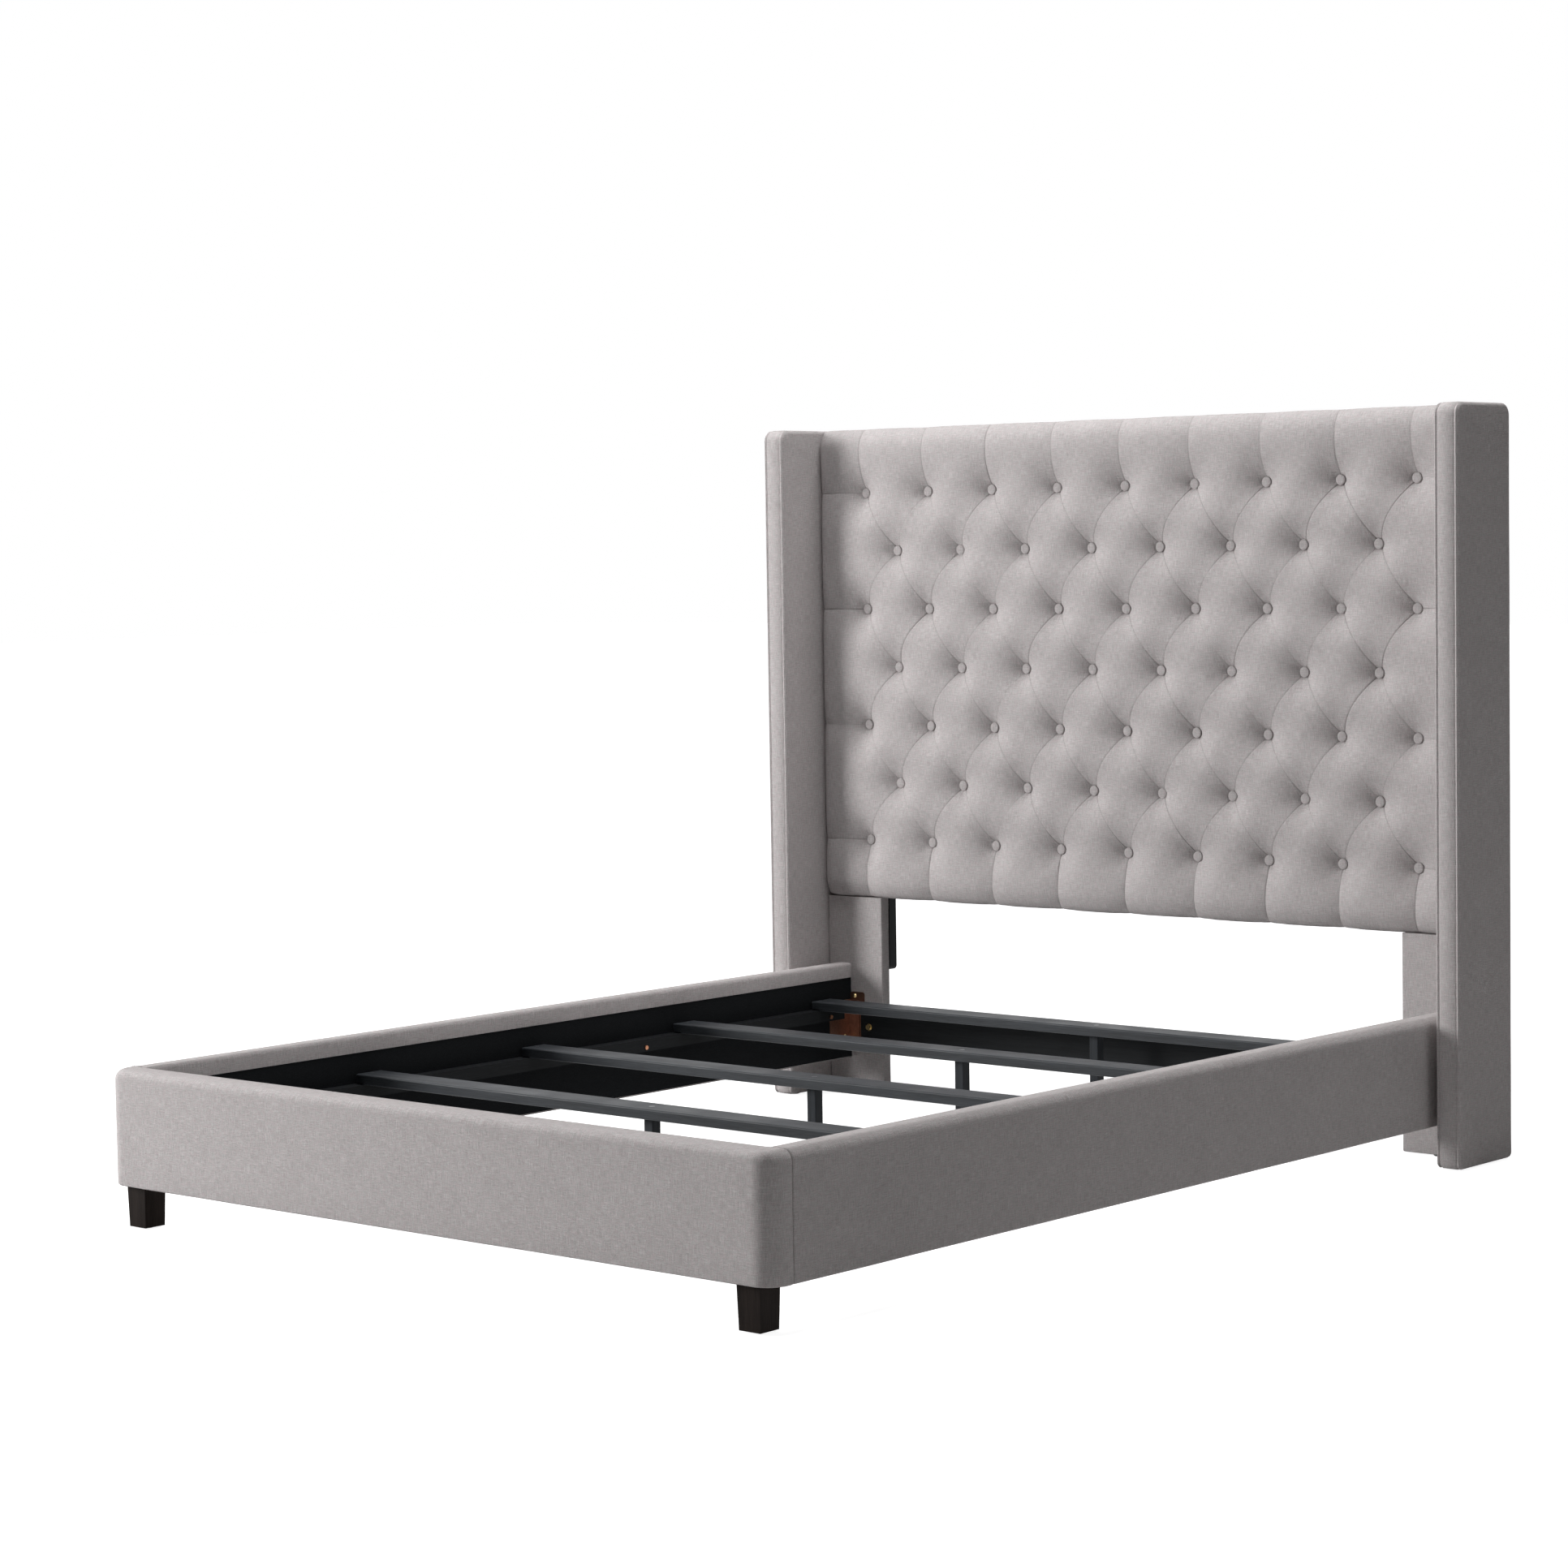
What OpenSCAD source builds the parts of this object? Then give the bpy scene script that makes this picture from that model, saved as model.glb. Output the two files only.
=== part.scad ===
// Upholstered wing bed: tufted headboard between two wings, padded side rails and
// footboard that hook onto the headboard posts, and four slats on centre legs.
// Millimetres. Z is up, X is across the bed and +Y points to the head end.
// The origin is on the floor, in the middle of the bed's width and length.

/* [Mattress space] */
// Width of the mattress that the bed holds
mattress_w = 1524; // [1400:1:1900]
// Length of the mattress that the bed holds
mattress_l = 2032; // [1950:1:2150]
// Gap between the mattress and each side rail
mattress_side_gap = 18; // [5:0.5:30]
// Gap between the mattress and each end of the frame
mattress_end_gap = 15; // [5:0.5:30]

/* [Rails and footboard] */
// Height of the padded rail tops above the floor
rail_top_z = 300; // [285:1:360]
// Height of the padded rail undersides above the floor
rail_bottom_z = 80; // [60:1:95]
// Thickness of the wooden rail and footboard cores
core_t = 28; // [20:0.5:34]
// Padding on the outer face of a side rail
rail_pad_t = 18; // [10:0.5:26]
// Padding on the outer face of the footboard
foot_pad_t = 26; // [18:0.5:34]
// Padding over the top of the rails and footboard
top_pad_t = 10; // [5:0.5:18]
// Fabric and wadding on the inner side of a rail
wrap_t = 4; // [3:0.25:6]
// Fabric wrap under a rail and round a post
under_wrap_t = 3; // [2:0.25:4]
// How far the fabric comes down the inner side of a rail
wrap_drop = 34; // [24:1:42]
// Rounding of the outer top edge of the padding
top_edge_r = 20; // [10:0.5:22]
// Rounding of the inner top edge of the padding
inner_edge_r = 8; // [3:0.5:9]
// Rounding of the lower edge of the padding
low_edge_r = 5; // [2:0.5:8]
// Rounding of the footboard's two corners, seen from above
corner_r = 38; // [30:0.5:46]
// Thickness of the black lining cloth
lining_t = 1.5; // [0.8:0.1:2.5]

/* [Headboard] */
// Height of the headboard above the floor
head_h = 1522; // [1200:1:1700]
// Height of the tufted panel's lower edge above the floor
panel_bottom_z = 452; // [420:1:560]
// Thickness of the tufted padding at its crests
tuft_pad_t = 36; // [30:0.5:50]
// Padding over the top and under the bottom of the panel
panel_wrap_t = 11; // [6:0.5:16]
// Rounding of the panel's upper and lower front edges
panel_edge_r = 30; // [10:0.5:30]
// Thickness of the plywood behind the padding
ply_t = 10; // [6:0.5:15]
// Depth of the timber frame behind the plywood
frame_t = 24; // [20:0.5:34]
// Width of the timber frame's members
member_w = 45; // [36:1:60]
// Distance from the back of the panel to the back of the wings
back_recess = 13.7; // [6:0.1:30]
// Height of the cross rails that the struts reach up to
cross_rail_z = 1040; // [900:1:1080]

/* [Tufting] */
// Buttons in the top row
tuft_columns = 9; // [7:1:11]
// Rows of buttons
tuft_rows = 7; // [5:2:9]
// Distance from the panel's side edge to the outermost buttons
tuft_side_margin = 124; // [90:1:150]
// Distance from the panel's top edge to the top row
tuft_top_margin = 145; // [110:1:170]
// Distance from the panel's lower edge to the bottom row
tuft_low_margin = 134; // [110:1:160]
// Diameter of a covered button
button_d = 23; // [18:0.5:26]
// Height of a covered button's dome
button_h = 7; // [5:0.5:9]
// Depth and rounding of the dimple round a button
dimple_r = 22; // [16:0.5:24]
// Diameter of the twine hole behind a button
twine_d = 4; // [3:0.25:5]

/* [Wings] */
// Thickness of a padded wing
wing_t = 57; // [50:0.5:70]
// Depth of a wing from front to back
wing_depth = 205; // [170:1:260]
// Gap between the side rail and the wing
wing_gap = 18; // [6:0.5:30]
// Padding on the broad faces of a wing
wing_pad_t = 16; // [10:0.5:20]
// Padding round the edges of a wing
wing_edge_pad_t = 14; // [8:0.5:20]
// Rounding of the top corners of a wing, seen from the side
wing_top_r = 25; // [12:0.5:40]
// Rounding of the bottom corners of a wing, seen from the side
wing_foot_r = 12; // [6:0.5:20]
// Rounding along the upright edges of a wing
wing_edge_r = 7; // [3:0.5:12]
// Bolts that hold a wing to the headboard frame, below and again above the cross rail
wing_bolt_count = 2; // [1:1:3]

/* [Posts and struts] */
// Width of a padded post
post_w = 160; // [130:1:180]
// Thickness of a post's wooden core
post_core_t = 22; // [18:0.5:26]
// Width of the strut behind a post
strut_w = 60; // [50:1:70]
// Height of the strut's lower end above the floor
strut_low_z = 286; // [260:1:320]
// Rounding of the strut's lower corners
strut_r = 10; // [4:0.5:16]
// Height of the glides under the wings, posts and front legs
glide_h = 3; // [2:0.5:5]
// Diameter of the glides
glide_d = 26; // [16:1:28]

/* [Slatted base] */
// Height of the tops of the slats above the floor
slat_top_z = 225; // [215:1:232]
// Thickness of a slat
slat_t = 20; // [16:0.5:24]
// Width of a slat
slat_w = 68; // [55:1:90]
// Rounding of the long edges of a slat
slat_r = 3; // [1:0.5:5]
// Gap between a slat's end and the rail lining
slat_end_gap = 8; // [3:0.5:10]
// Distance from one slat to the next
slat_pitch = 464; // [380:1:480]
// Distance from the post faces to the middle of the nearest slat
first_slat_gap = 114; // [100:1:150]
// Width of a ledger, which is how far it stands out from the rail
ledger_w = 30; // [26:0.5:40]
// Height of a ledger
ledger_h = 27; // [22:0.5:32]
// Distance from the foot end of a ledger to the footboard lining
ledger_foot_gap = 62; // [40:1:80]
// Distance from the head end of a ledger to the post face
ledger_head_gap = 60; // [50:1:70]
// Bolts that hold each ledger to its rail
ledger_bolt_count = 4; // [3:1:6]
// Distance from a ledger's ends to its end bolts
ledger_bolt_inset = 48; // [20:1:80]
// Height of those bolts above the ledger's underside
ledger_bolt_rise = 9; // [7:0.5:10]
// Side of the square centre legs
leg_side = 22; // [20:0.5:30]
// Rounding of the centre legs' edges
leg_edge_r = 1.5; // [0.5:0.25:3]
// Height of the centre legs' lower ends above the floor
leg_low_z = 18; // [16:0.5:24]

/* [Levelling glides] */
// Diameter of the glide's threaded stem
stem_d = 8; // [6:0.5:10]
// Clearance round the stem in its threaded insert
stem_gap = 0.05; // [0.02:0.01:0.1]
// Clearance around the stem in the leg's bore above the insert
stem_room = 0.5; // [0.3:0.1:1]
// Length of the stem above the glide's pad
stem_l = 36; // [32:0.5:42]
// Diameter of the glide's pad
level_pad_d = 30; // [26:0.5:36]
// Height of the glide's pad
level_pad_h = 6; // [4:0.5:7]
// Outer diameter of the threaded insert
insert_d = 12; // [11:0.5:14]
// Length of the threaded insert
insert_l = 20; // [16:0.5:24]
// Travel that the stem's hole leaves above the stem
stem_travel = 12; // [11:0.5:16]

/* [Front legs] */
// Side of a front leg at its top
front_leg_top = 50; // [44:0.5:60]
// Side of a front leg at its foot
front_leg_foot = 46; // [36:0.5:50]
// Distance from the frame's outer side face to the leg
front_leg_inset = 37; // [25:0.5:60]
// Length of the hanger bolt in the leg, and again in the footboard core
hanger_l = 40; // [25:1:50]

/* [Stretcher] */
// Height of the stretcher's lower edge above the floor
stretcher_z = 125; // [110:1:130]
// Height of the stretcher board
stretcher_h = 64; // [50:1:66]
// Thickness of the stretcher board
stretcher_t = 19; // [15:0.5:24]
// How far the stretcher laps over each post
stretcher_lap = 50; // [44:0.5:50]

/* [Steel fittings] */
// Thickness of the steel plates
plate_t = 2.5; // [2:0.1:3]
// Height of the hooked rail bracket
bracket_h = 97; // [90:0.5:100]
// Height of the bracket's lower edge above the floor
bracket_z = 118; // [114:0.5:120]
// Length of the bracket's leaf along the rail
bracket_leaf = 74; // [66:0.5:90]
// Width of the bracket's leaf along the post
bracket_turn = 28; // [24:0.5:30]
// Rounding of the plates' corners
plate_r = 6; // [3:0.5:8]
// Width of the slotted plate on the post
post_plate_w = 41; // [38:0.5:41]
// How far the post plate reaches above and below the bracket
post_plate_ear = 18; // [15:0.5:20]
// Thickness of a hook, across the plate
hook_t = 4; // [3:0.25:5]
// Height of a hook
hook_h = 22; // [16:0.5:26]
// Height of a hook's neck, which passes through its slot
hook_neck_h = 12; // [8:0.5:14]
// Rounding of a hook's corners
hook_r = 1.5; // [0.5:0.25:1.75]
// How far a hook reaches behind the post plate
hook_reach = 5; // [3.5:0.25:7]
// Running clearance round a hook in its slot
hook_gap = 0.3; // [0.2:0.05:0.6]
// Distance from the bracket's upper and lower edges to its screws
screw_row_inset = 14; // [10:0.5:18]
// Distance from a leaf's free edge to its nearer screws
screw_edge_inset = 27; // [24:0.5:30]
// Distance between the two screws of one row
screw_pitch = 28; // [20:0.5:28]
// Distance from the bracket's upper and lower edges to the hooks' necks
hook_inset = 26; // [20:0.5:28]
// Length of a leaf of the footboard's corner bracket
corner_leaf = 60; // [50:1:70]
// Distance from the free edge of a corner bracket to its screws
corner_screw_inset = 20; // [12:0.5:26]

/* [Fasteners] */
// Diameter of the larger bolts
bolt_d = 8; // [6:0.5:8]
// Diameter of the bracket and ledger screws
screw_d = 5; // [4:0.25:6]
// Diameter of the slat screws
slat_screw_d = 4; // [3:0.25:5]
// Depth that bracket and ledger screws reach into a wooden core
screw_bite = 18; // [12:0.5:19]
// Depth that a slat screw reaches into the ledger
slat_screw_bite = 10; // [6:0.5:11]
// Diameter of the bolts through the slats into the centre legs
centre_bolt_d = 6; // [5:0.5:8]
// Depth that those bolts reach into the centre legs
centre_bolt_bite = 45; // [30:1:60]
// Depth that the wing, strut and post plate bolts reach into wood
bolt_bite = 12; // [8:0.5:13]
// Thickness of the washers on the stretcher
washer_t = 1.5; // [1:0.25:2.5]
// Clearance round a bolt or screw in its hole
bolt_gap = 0.1; // [0.05:0.05:0.3]
// Clearance left between a padded cover and what it covers
seat_gap = 0.3; // [0.2:0.05:0.5]

/* [Hidden] */
$fn = 48;

// Colours
FABRIC = [0.72, 0.70, 0.69];
WOOD = [0.78, 0.64, 0.46];
BLACK = [0.10, 0.11, 0.12];
SLAT = [0.21, 0.24, 0.27];
ESPRESSO = [0.17, 0.12, 0.11];
BRONZE = [0.34, 0.22, 0.18];
ZINC = [0.72, 0.62, 0.35];
COPPER = [0.72, 0.45, 0.35];
PLASTIC = [0.16, 0.16, 0.17];

// A cut runs this far past the face that it opens
over = 1;

// Smallest rounding left on a core's corner under thick padding
least_r = 1;

// Proportions of bolt and screw heads, as shares of the shank's diameter
HEX_W = 1.8;
HEX_H = 0.6;
CAP_W = 1.5;
WASHER_W = 2;
PAN_W = 1.9;
PAN_H = 0.5;
DOME_W = 2.2;
DOME_H = 0.9;

// Across the bed, on the +X side
rail_in_x = mattress_w / 2 + mattress_side_gap;
core_x0 = rail_in_x + wrap_t;
core_x1 = core_x0 + core_t;
rail_out_x = core_x1 + rail_pad_t;
wing_in_x = rail_out_x + wing_gap;
wing_out_x = wing_in_x + wing_t;
panel_x = wing_in_x - seat_gap;
post_x0 = panel_x - post_w;
lining_x = core_x0 - seat_gap - lining_t;
ledger_x1 = lining_x - seat_gap;
ledger_x0 = ledger_x1 - ledger_w;

// Along the bed
foot_t = foot_pad_t + core_t + wrap_t;
post_t = post_core_t + 2 * under_wrap_t;
bed_l = foot_t + mattress_l + 2 * mattress_end_gap + post_t + seat_gap + frame_t + seat_gap
    + lining_t + back_recess;
foot_y = -bed_l / 2;
foot_core_y0 = foot_y + foot_pad_t;
foot_core_y1 = foot_core_y0 + core_t;
foot_in_y = foot_y + foot_t;
foot_lining_y = foot_core_y1 + seat_gap;
post_y = foot_in_y + mattress_l + 2 * mattress_end_gap;
frame_y0 = post_y + post_t + seat_gap;
frame_y1 = frame_y0 + frame_t;
ply_y = frame_y0 - ply_t;
pad_y = ply_y - seat_gap - tuft_pad_t;
cloth_y = frame_y1 + seat_gap;
wing_y1 = bed_l / 2;
wing_y0 = wing_y1 - wing_depth;
rail_end_y = post_y - seat_gap;

// Heights
rail_core_z0 = rail_bottom_z + under_wrap_t;
rail_core_z1 = rail_top_z - top_pad_t;
wrap_z = rail_top_z - wrap_drop;
ply_z0 = panel_bottom_z + panel_wrap_t;
ply_z1 = head_h - panel_wrap_t;
slat_z = slat_top_z - slat_t;
ledger_z = slat_z - ledger_h;
post_top_z = panel_bottom_z - seat_gap;
bracket_top_z = bracket_z + bracket_h;

// Tufting grid, spread evenly between its margins
tuft_pitch_x = 2 * (panel_x - tuft_side_margin) / (tuft_columns - 1);
tuft_low_z = panel_bottom_z + tuft_low_margin;
tuft_pitch_z = (head_h - tuft_top_margin - tuft_low_z) / (tuft_rows - 1);
button_seat_r = button_d / 2 + seat_gap;
button_y = pad_y + dimple_r;

// Headboard frame and the struts that run up inside it
strut_x1 = post_x0 + strut_w;
stile_x = panel_x - member_w;
cross_top_z = cross_rail_z + member_w;
// Two bolts hold each strut to its post
strut_bolt_x = post_x0 + strut_w / 2;
strut_bolt_pitch = (post_top_z - strut_low_z) / 2;

// Posts
core_in_x = post_x0 + under_wrap_t;
core_out_x = panel_x - under_wrap_t;
post_core_y0 = post_y + under_wrap_t;
post_core_y1 = post_core_y0 + post_core_t;
post_core_z = glide_h + under_wrap_t;
strut_bolt_tip_y = post_core_y1 - bolt_bite;
post_bolt_tip_y = post_core_y0 + bolt_bite;

// Wing bolts
wing_bolt_y = (frame_y0 + frame_y1) / 2;
wing_bolt_x0 = stile_x - seat_gap;
wing_bolt_x1 = wing_in_x + wing_pad_t + bolt_bite;

// Stretcher
stretcher_x = post_x0 + stretcher_lap;
stretcher_y = post_y - seat_gap - stretcher_t;

// Ledgers and the screws that bite into the rail cores
ledger_y0 = foot_in_y + ledger_foot_gap;
ledger_y1 = post_y - ledger_head_gap;
rail_screw_x1 = core_x0 + screw_bite;

// Hooked brackets: one leaf lies in the rail, flush with its lining, and the other turns
// in across the post, against the slotted plate
leaf_x1 = lining_x + plate_t;
plate_y = post_y - seat_gap - plate_t;
turn_y = plate_y - seat_gap - plate_t;
leaf_y0 = turn_y + plate_t - bracket_leaf;
turn_x0 = lining_x - bracket_turn;
plate_x1 = lining_x;
plate_x0 = plate_x1 - post_plate_w;
hook_x = turn_x0 + bracket_turn / 2;
// Heights of the upper and lower rows of screws in the brackets
screw_rows = [bracket_z + screw_row_inset, bracket_top_z - screw_row_inset];

// Footboard corners and their angle brackets
corner_x = rail_out_x - corner_r;
corner_y = foot_y + corner_r;
foot_core_r = corner_r - max(foot_pad_t, rail_pad_t);
corner_br_y = foot_lining_y + lining_t + seat_gap;
corner_br_x1 = lining_x - seat_gap;
corner_tip_y = foot_core_y1 - screw_bite;

// Front legs
front_leg_x = rail_out_x - front_leg_inset - front_leg_top / 2;
front_leg_y = (foot_core_y0 + foot_core_y1) / 2;
front_leg_z1 = rail_bottom_z - seat_gap;

// Slats, centre legs and levelling glides
slat_x = lining_x - slat_end_gap;
slat_screw_x = (slat_x + ledger_x0) / 2;
slat_screw_z = slat_z - slat_screw_bite;
centre_bolt_z = slat_z - centre_bolt_bite;
stem_top_z = level_pad_h + stem_l;

// ---------- shapes that several pieces use ----------

// A block between two corners
module block(p, q) {
    translate(p) cube(q - p);
}

// The bit that rounding takes off a corner at the origin, for a shape in the +X+Y quarter
module corner_bit(r) {
    difference() {
        translate([-over, -over]) square(r + over);
        translate([r, r]) circle(r);
    }
}

// A rectangle between two corners, rounded by its own radius at each one
module rounded(p, q, low_left, low_right, top_right, top_left) {
    difference() {
        translate(p) square(q - p);
        translate(p) corner_bit(low_left);
        translate([q.x, p.y]) mirror([1, 0]) corner_bit(low_right);
        translate(q) mirror([1, 0]) mirror([0, 1]) corner_bit(top_right);
        translate([p.x, q.y]) mirror([0, 1]) corner_bit(top_left);
    }
}

// Extrudes an outline drawn in Y and Z along X
module along_x(x0, x1) {
    translate([x0, 0, 0]) rotate([90, 0, 90]) linear_extrude(x1 - x0) children();
}

// Extrudes an outline drawn in X and Z along Y
module along_y(y0, y1) {
    translate([0, y1, 0]) rotate([90, 0, 0]) linear_extrude(y1 - y0) children();
}

// A bar with long rounded edges that runs along X
module bar_x(p, q, r) {
    along_x(p.x, q.x) rounded([p.y, p.z], [q.y, q.z], r, r, r, r);
}

// Pieces that come as a mirrored pair are drawn on the +X side
module left() {
    mirror([1, 0, 0]) children();
}

module both() {
    children();
    left() children();
}

// Cylinders along each axis
module rod_z(d, z0, z1) {
    translate([0, 0, z0]) cylinder(d = d, h = z1 - z0);
}

module rod_x(d, x0, x1) {
    translate([x0, 0, 0]) rotate([0, 90, 0]) cylinder(d = d, h = x1 - x0);
}

module rod_y(d, y0, y1) {
    translate([0, y1, 0]) rotate([90, 0, 0]) cylinder(d = d, h = y1 - y0);
}

// ---------- headboard ----------

// Where each button sits: odd rows hold one button more than even rows
module at_tufts() {
    for (row = [0 : tuft_rows - 1]) {
        short = row % 2;
        for (col = [0 : tuft_columns - 1 - short])
            translate([(col - (tuft_columns - 1 - short) / 2) * tuft_pitch_x, 0,
                tuft_low_z + row * tuft_pitch_z]) children();
    }
}

// Trumpet-shaped hollow whose rim rolls over into the face of the pad
module dimple() {
    translate([0, pad_y, 0]) rotate([-90, 0, 0]) rotate_extrude() difference() {
        translate([0, -over]) square([button_seat_r + dimple_r, dimple_r + over]);
        translate([button_seat_r + dimple_r, dimple_r]) circle(dimple_r);
    }
}

module tufted_pad() {
    color(FABRIC) difference() {
        along_x(-panel_x, panel_x) difference() {
            rounded([pad_y, panel_bottom_z], [frame_y1, head_h], panel_edge_r, low_edge_r,
                low_edge_r, panel_edge_r);
            translate([ply_y - seat_gap, ply_z0 - seat_gap])
                square([frame_y1 - ply_y + seat_gap + over, ply_z1 - ply_z0 + 2 * seat_gap]);
        }
        at_tufts() dimple();
        at_tufts() rod_y(twine_d + 2 * seat_gap, pad_y, ply_y);
        both() block([post_x0 - seat_gap, frame_y0 - seat_gap, panel_bottom_z - over],
            [strut_x1 + seat_gap, frame_y1 + over, ply_z0]);
    }
}

// A covered button: a low dome on a thin base, and the loop that the twine holds
module tuft_button() {
    base_t = button_h / 3;
    dome_h = button_h - base_t;
    dome_r = (pow(button_d / 2, 2) + pow(dome_h, 2)) / (2 * dome_h);
    rotate([90, 0, 0]) rotate_extrude() intersection() {
        union() {
            square([button_d / 2, base_t]);
            translate([0, button_h - dome_r]) circle(dome_r);
        }
        square([button_d / 2, button_h]);
    }
    rod_y(twine_d, 0, ply_y + ply_t / 2 - button_y);
}

module tuft_buttons() {
    color(FABRIC) at_tufts() translate([0, button_y - seat_gap, 0]) tuft_button();
}

module headboard_ply() {
    color(WOOD) difference() {
        block([-panel_x, ply_y, ply_z0], [panel_x, frame_y0, ply_z1]);
        at_tufts() rod_y(twine_d + 2 * bolt_gap, ply_y - over, frame_y0 + over);
    }
}

// A timber of the frame, between two corners in X and Z
module member(x0, z0, x1, z1) {
    block([x0, frame_y0, z0], [x1, frame_y1, z1]);
}

module headboard_frame() {
    color(WOOD) difference() {
        union() {
            member(-panel_x, ply_z1 - member_w, panel_x, ply_z1);
            member(-post_x0, ply_z0, post_x0, ply_z0 + member_w);
            member(-member_w / 2, ply_z0 + member_w, member_w / 2, ply_z1 - member_w);
            both() {
                member(stile_x, ply_z0, panel_x, ply_z1 - member_w);
                member(strut_x1, ply_z0, stile_x, ply_z0 + member_w);
                member(member_w / 2, cross_rail_z, stile_x, cross_top_z);
            }
        }
        at_wing_bolts() wing_bolt_hole();
    }
}

module back_cloth() {
    color(BLACK) block([-panel_x, cloth_y, ply_z0], [panel_x, cloth_y + lining_t, ply_z1]);
}

// Struts carry the posts: they run up inside the frame to the cross rail
module strut() {
    color(BLACK) difference() {
        along_y(frame_y0, frame_y1)
            rounded([post_x0, strut_low_z], [strut_x1, cross_rail_z], strut_r, strut_r, 0, 0);
        at_strut_bolts() rod_y(bolt_d + 2 * bolt_gap, frame_y0 - over, frame_y1 + over);
    }
}

module left_strut() {
    left() strut();
}

module right_strut() {
    strut();
}

// Two bolts come in from behind and hold the strut to the post

module at_strut_bolts() {
    for (i = [0, 1])
        translate([strut_bolt_x, 0, strut_low_z + (i + 0.5) * strut_bolt_pitch]) children();
}

module strut_bolts() {
    color(ZINC) both() at_strut_bolts() {
        rod_y(bolt_d, strut_bolt_tip_y, frame_y1 + seat_gap);
        bolt_head(frame_y1 + seat_gap);
    }
}

// A hexagon bolt head that stands on a face that looks along +Y
module bolt_head(y) {
    translate([0, y, 0]) rotate([-90, 0, 0])
        cylinder(d = HEX_W * bolt_d, h = HEX_H * bolt_d, $fn = 6);
}

// ---------- wings ----------

// Bolts run along X through the frame's end stile into the wing's core. They are spread evenly
// over each bay of the frame, below and above the cross rail.

module at_bay_bolts(z0, z1) {
    step = (z1 - z0) / wing_bolt_count;
    for (i = [0 : wing_bolt_count - 1])
        translate([0, wing_bolt_y, z0 + (i + 0.5) * step]) children();
}

module at_wing_bolts() {
    both() {
        at_bay_bolts(ply_z0 + member_w, cross_rail_z) children();
        at_bay_bolts(cross_top_z, ply_z1 - member_w) children();
    }
}

module wing_bolt_hole() {
    rod_x(bolt_d + 2 * bolt_gap, stile_x - over, wing_bolt_x1 + over);
}

module wing_bolts() {
    color(ZINC) at_wing_bolts() {
        rod_x(bolt_d, wing_bolt_x0, wing_bolt_x1);
        translate([wing_bolt_x0, 0, 0]) rotate([0, -90, 0])
            cylinder(d = HEX_W * bolt_d, h = HEX_H * bolt_d, $fn = 6);
    }
}

// Side view of a wing, drawn in Y and Z and shrunk all round by d
module wing_side(d) {
    foot_r = max(wing_foot_r - d, least_r);
    top_r = max(wing_top_r - d, least_r);
    rounded([wing_y0 + d, glide_h + d], [wing_y1 - d, head_h - d], foot_r, foot_r, top_r, top_r);
}

module wing_core() {
    color(WOOD) difference() {
        along_x(wing_in_x + wing_pad_t, wing_out_x - wing_pad_t) wing_side(wing_edge_pad_t);
        at_wing_bolts() wing_bolt_hole();
    }
}

// The wing's padding is as long and wide as the wing and holds the core inside it
module wing_cover() {
    color(FABRIC) difference() {
        intersection() {
            along_x(wing_in_x, wing_out_x) wing_side(0);
            linear_extrude(head_h + over) rounded([wing_in_x, wing_y0], [wing_out_x, wing_y1],
                wing_edge_r, wing_edge_r, wing_edge_r, wing_edge_r);
        }
        along_x(wing_in_x + wing_pad_t - seat_gap, wing_out_x - wing_pad_t + seat_gap)
            wing_side(wing_edge_pad_t - seat_gap);
        at_wing_bolts() wing_bolt_hole();
    }
}

module left_wing_core() {
    left() wing_core();
}

module right_wing_core() {
    wing_core();
}

module left_wing_cover() {
    left() wing_cover();
}

module right_wing_cover() {
    wing_cover();
}

// ---------- posts ----------

// Holes that the post's core and its cover share
module post_holes() {
    at_strut_bolts() rod_y(bolt_d + 2 * bolt_gap, strut_bolt_tip_y - over, frame_y0 + over);
    at_stretcher_bolts() rod_y(bolt_d + 2 * bolt_gap, post_y - over, frame_y0 + over);
    at_post_plate_bolts() rod_y(screw_d + 2 * bolt_gap, post_y - over, post_bolt_tip_y + over);
    at_hooks() hook_pocket();
}

module post_core() {
    color(WOOD) difference() {
        block([core_in_x, post_core_y0, post_core_z], [core_out_x, post_core_y1, post_top_z]);
        post_holes();
    }
}

module post_cover() {
    color(FABRIC) difference() {
        translate([0, 0, glide_h]) linear_extrude(post_top_z - glide_h)
            rounded([post_x0, post_y], [panel_x, post_y + post_t], under_wrap_t, under_wrap_t,
                under_wrap_t, under_wrap_t);
        block([core_in_x - seat_gap, post_core_y0 - seat_gap, post_core_z - seat_gap],
            [core_out_x + seat_gap, post_core_y1 + seat_gap, post_top_z + over]);
        post_holes();
    }
}

module left_post_core() {
    left() post_core();
}

module right_post_core() {
    post_core();
}

module left_post_cover() {
    left() post_cover();
}

module right_post_cover() {
    post_cover();
}

// A nail-on glide: a disc with a turned-up rim
module glide(d) {
    rotate_extrude() polygon([[0, 0], [d / 2 - glide_h / 2, 0], [d / 2, glide_h / 2],
        [d / 2, glide_h - seat_gap], [0, glide_h - seat_gap]]);
}

module headboard_glides() {
    wing_mid_x = (wing_in_x + wing_out_x) / 2;
    color(PLASTIC) both() {
        for (y = [wing_y0 + wing_depth / 5, wing_y1 - wing_depth / 5])
            translate([wing_mid_x, y, 0]) glide(glide_d);
        translate([(post_x0 + panel_x) / 2, post_y + post_t / 2, 0]) glide(glide_d);
    }
}

// ---------- stretcher between the posts ----------

module at_stretcher_bolts() {
    translate([post_x0 + stretcher_lap / 2, 0, stretcher_z + stretcher_h / 2]) children();
}

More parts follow.
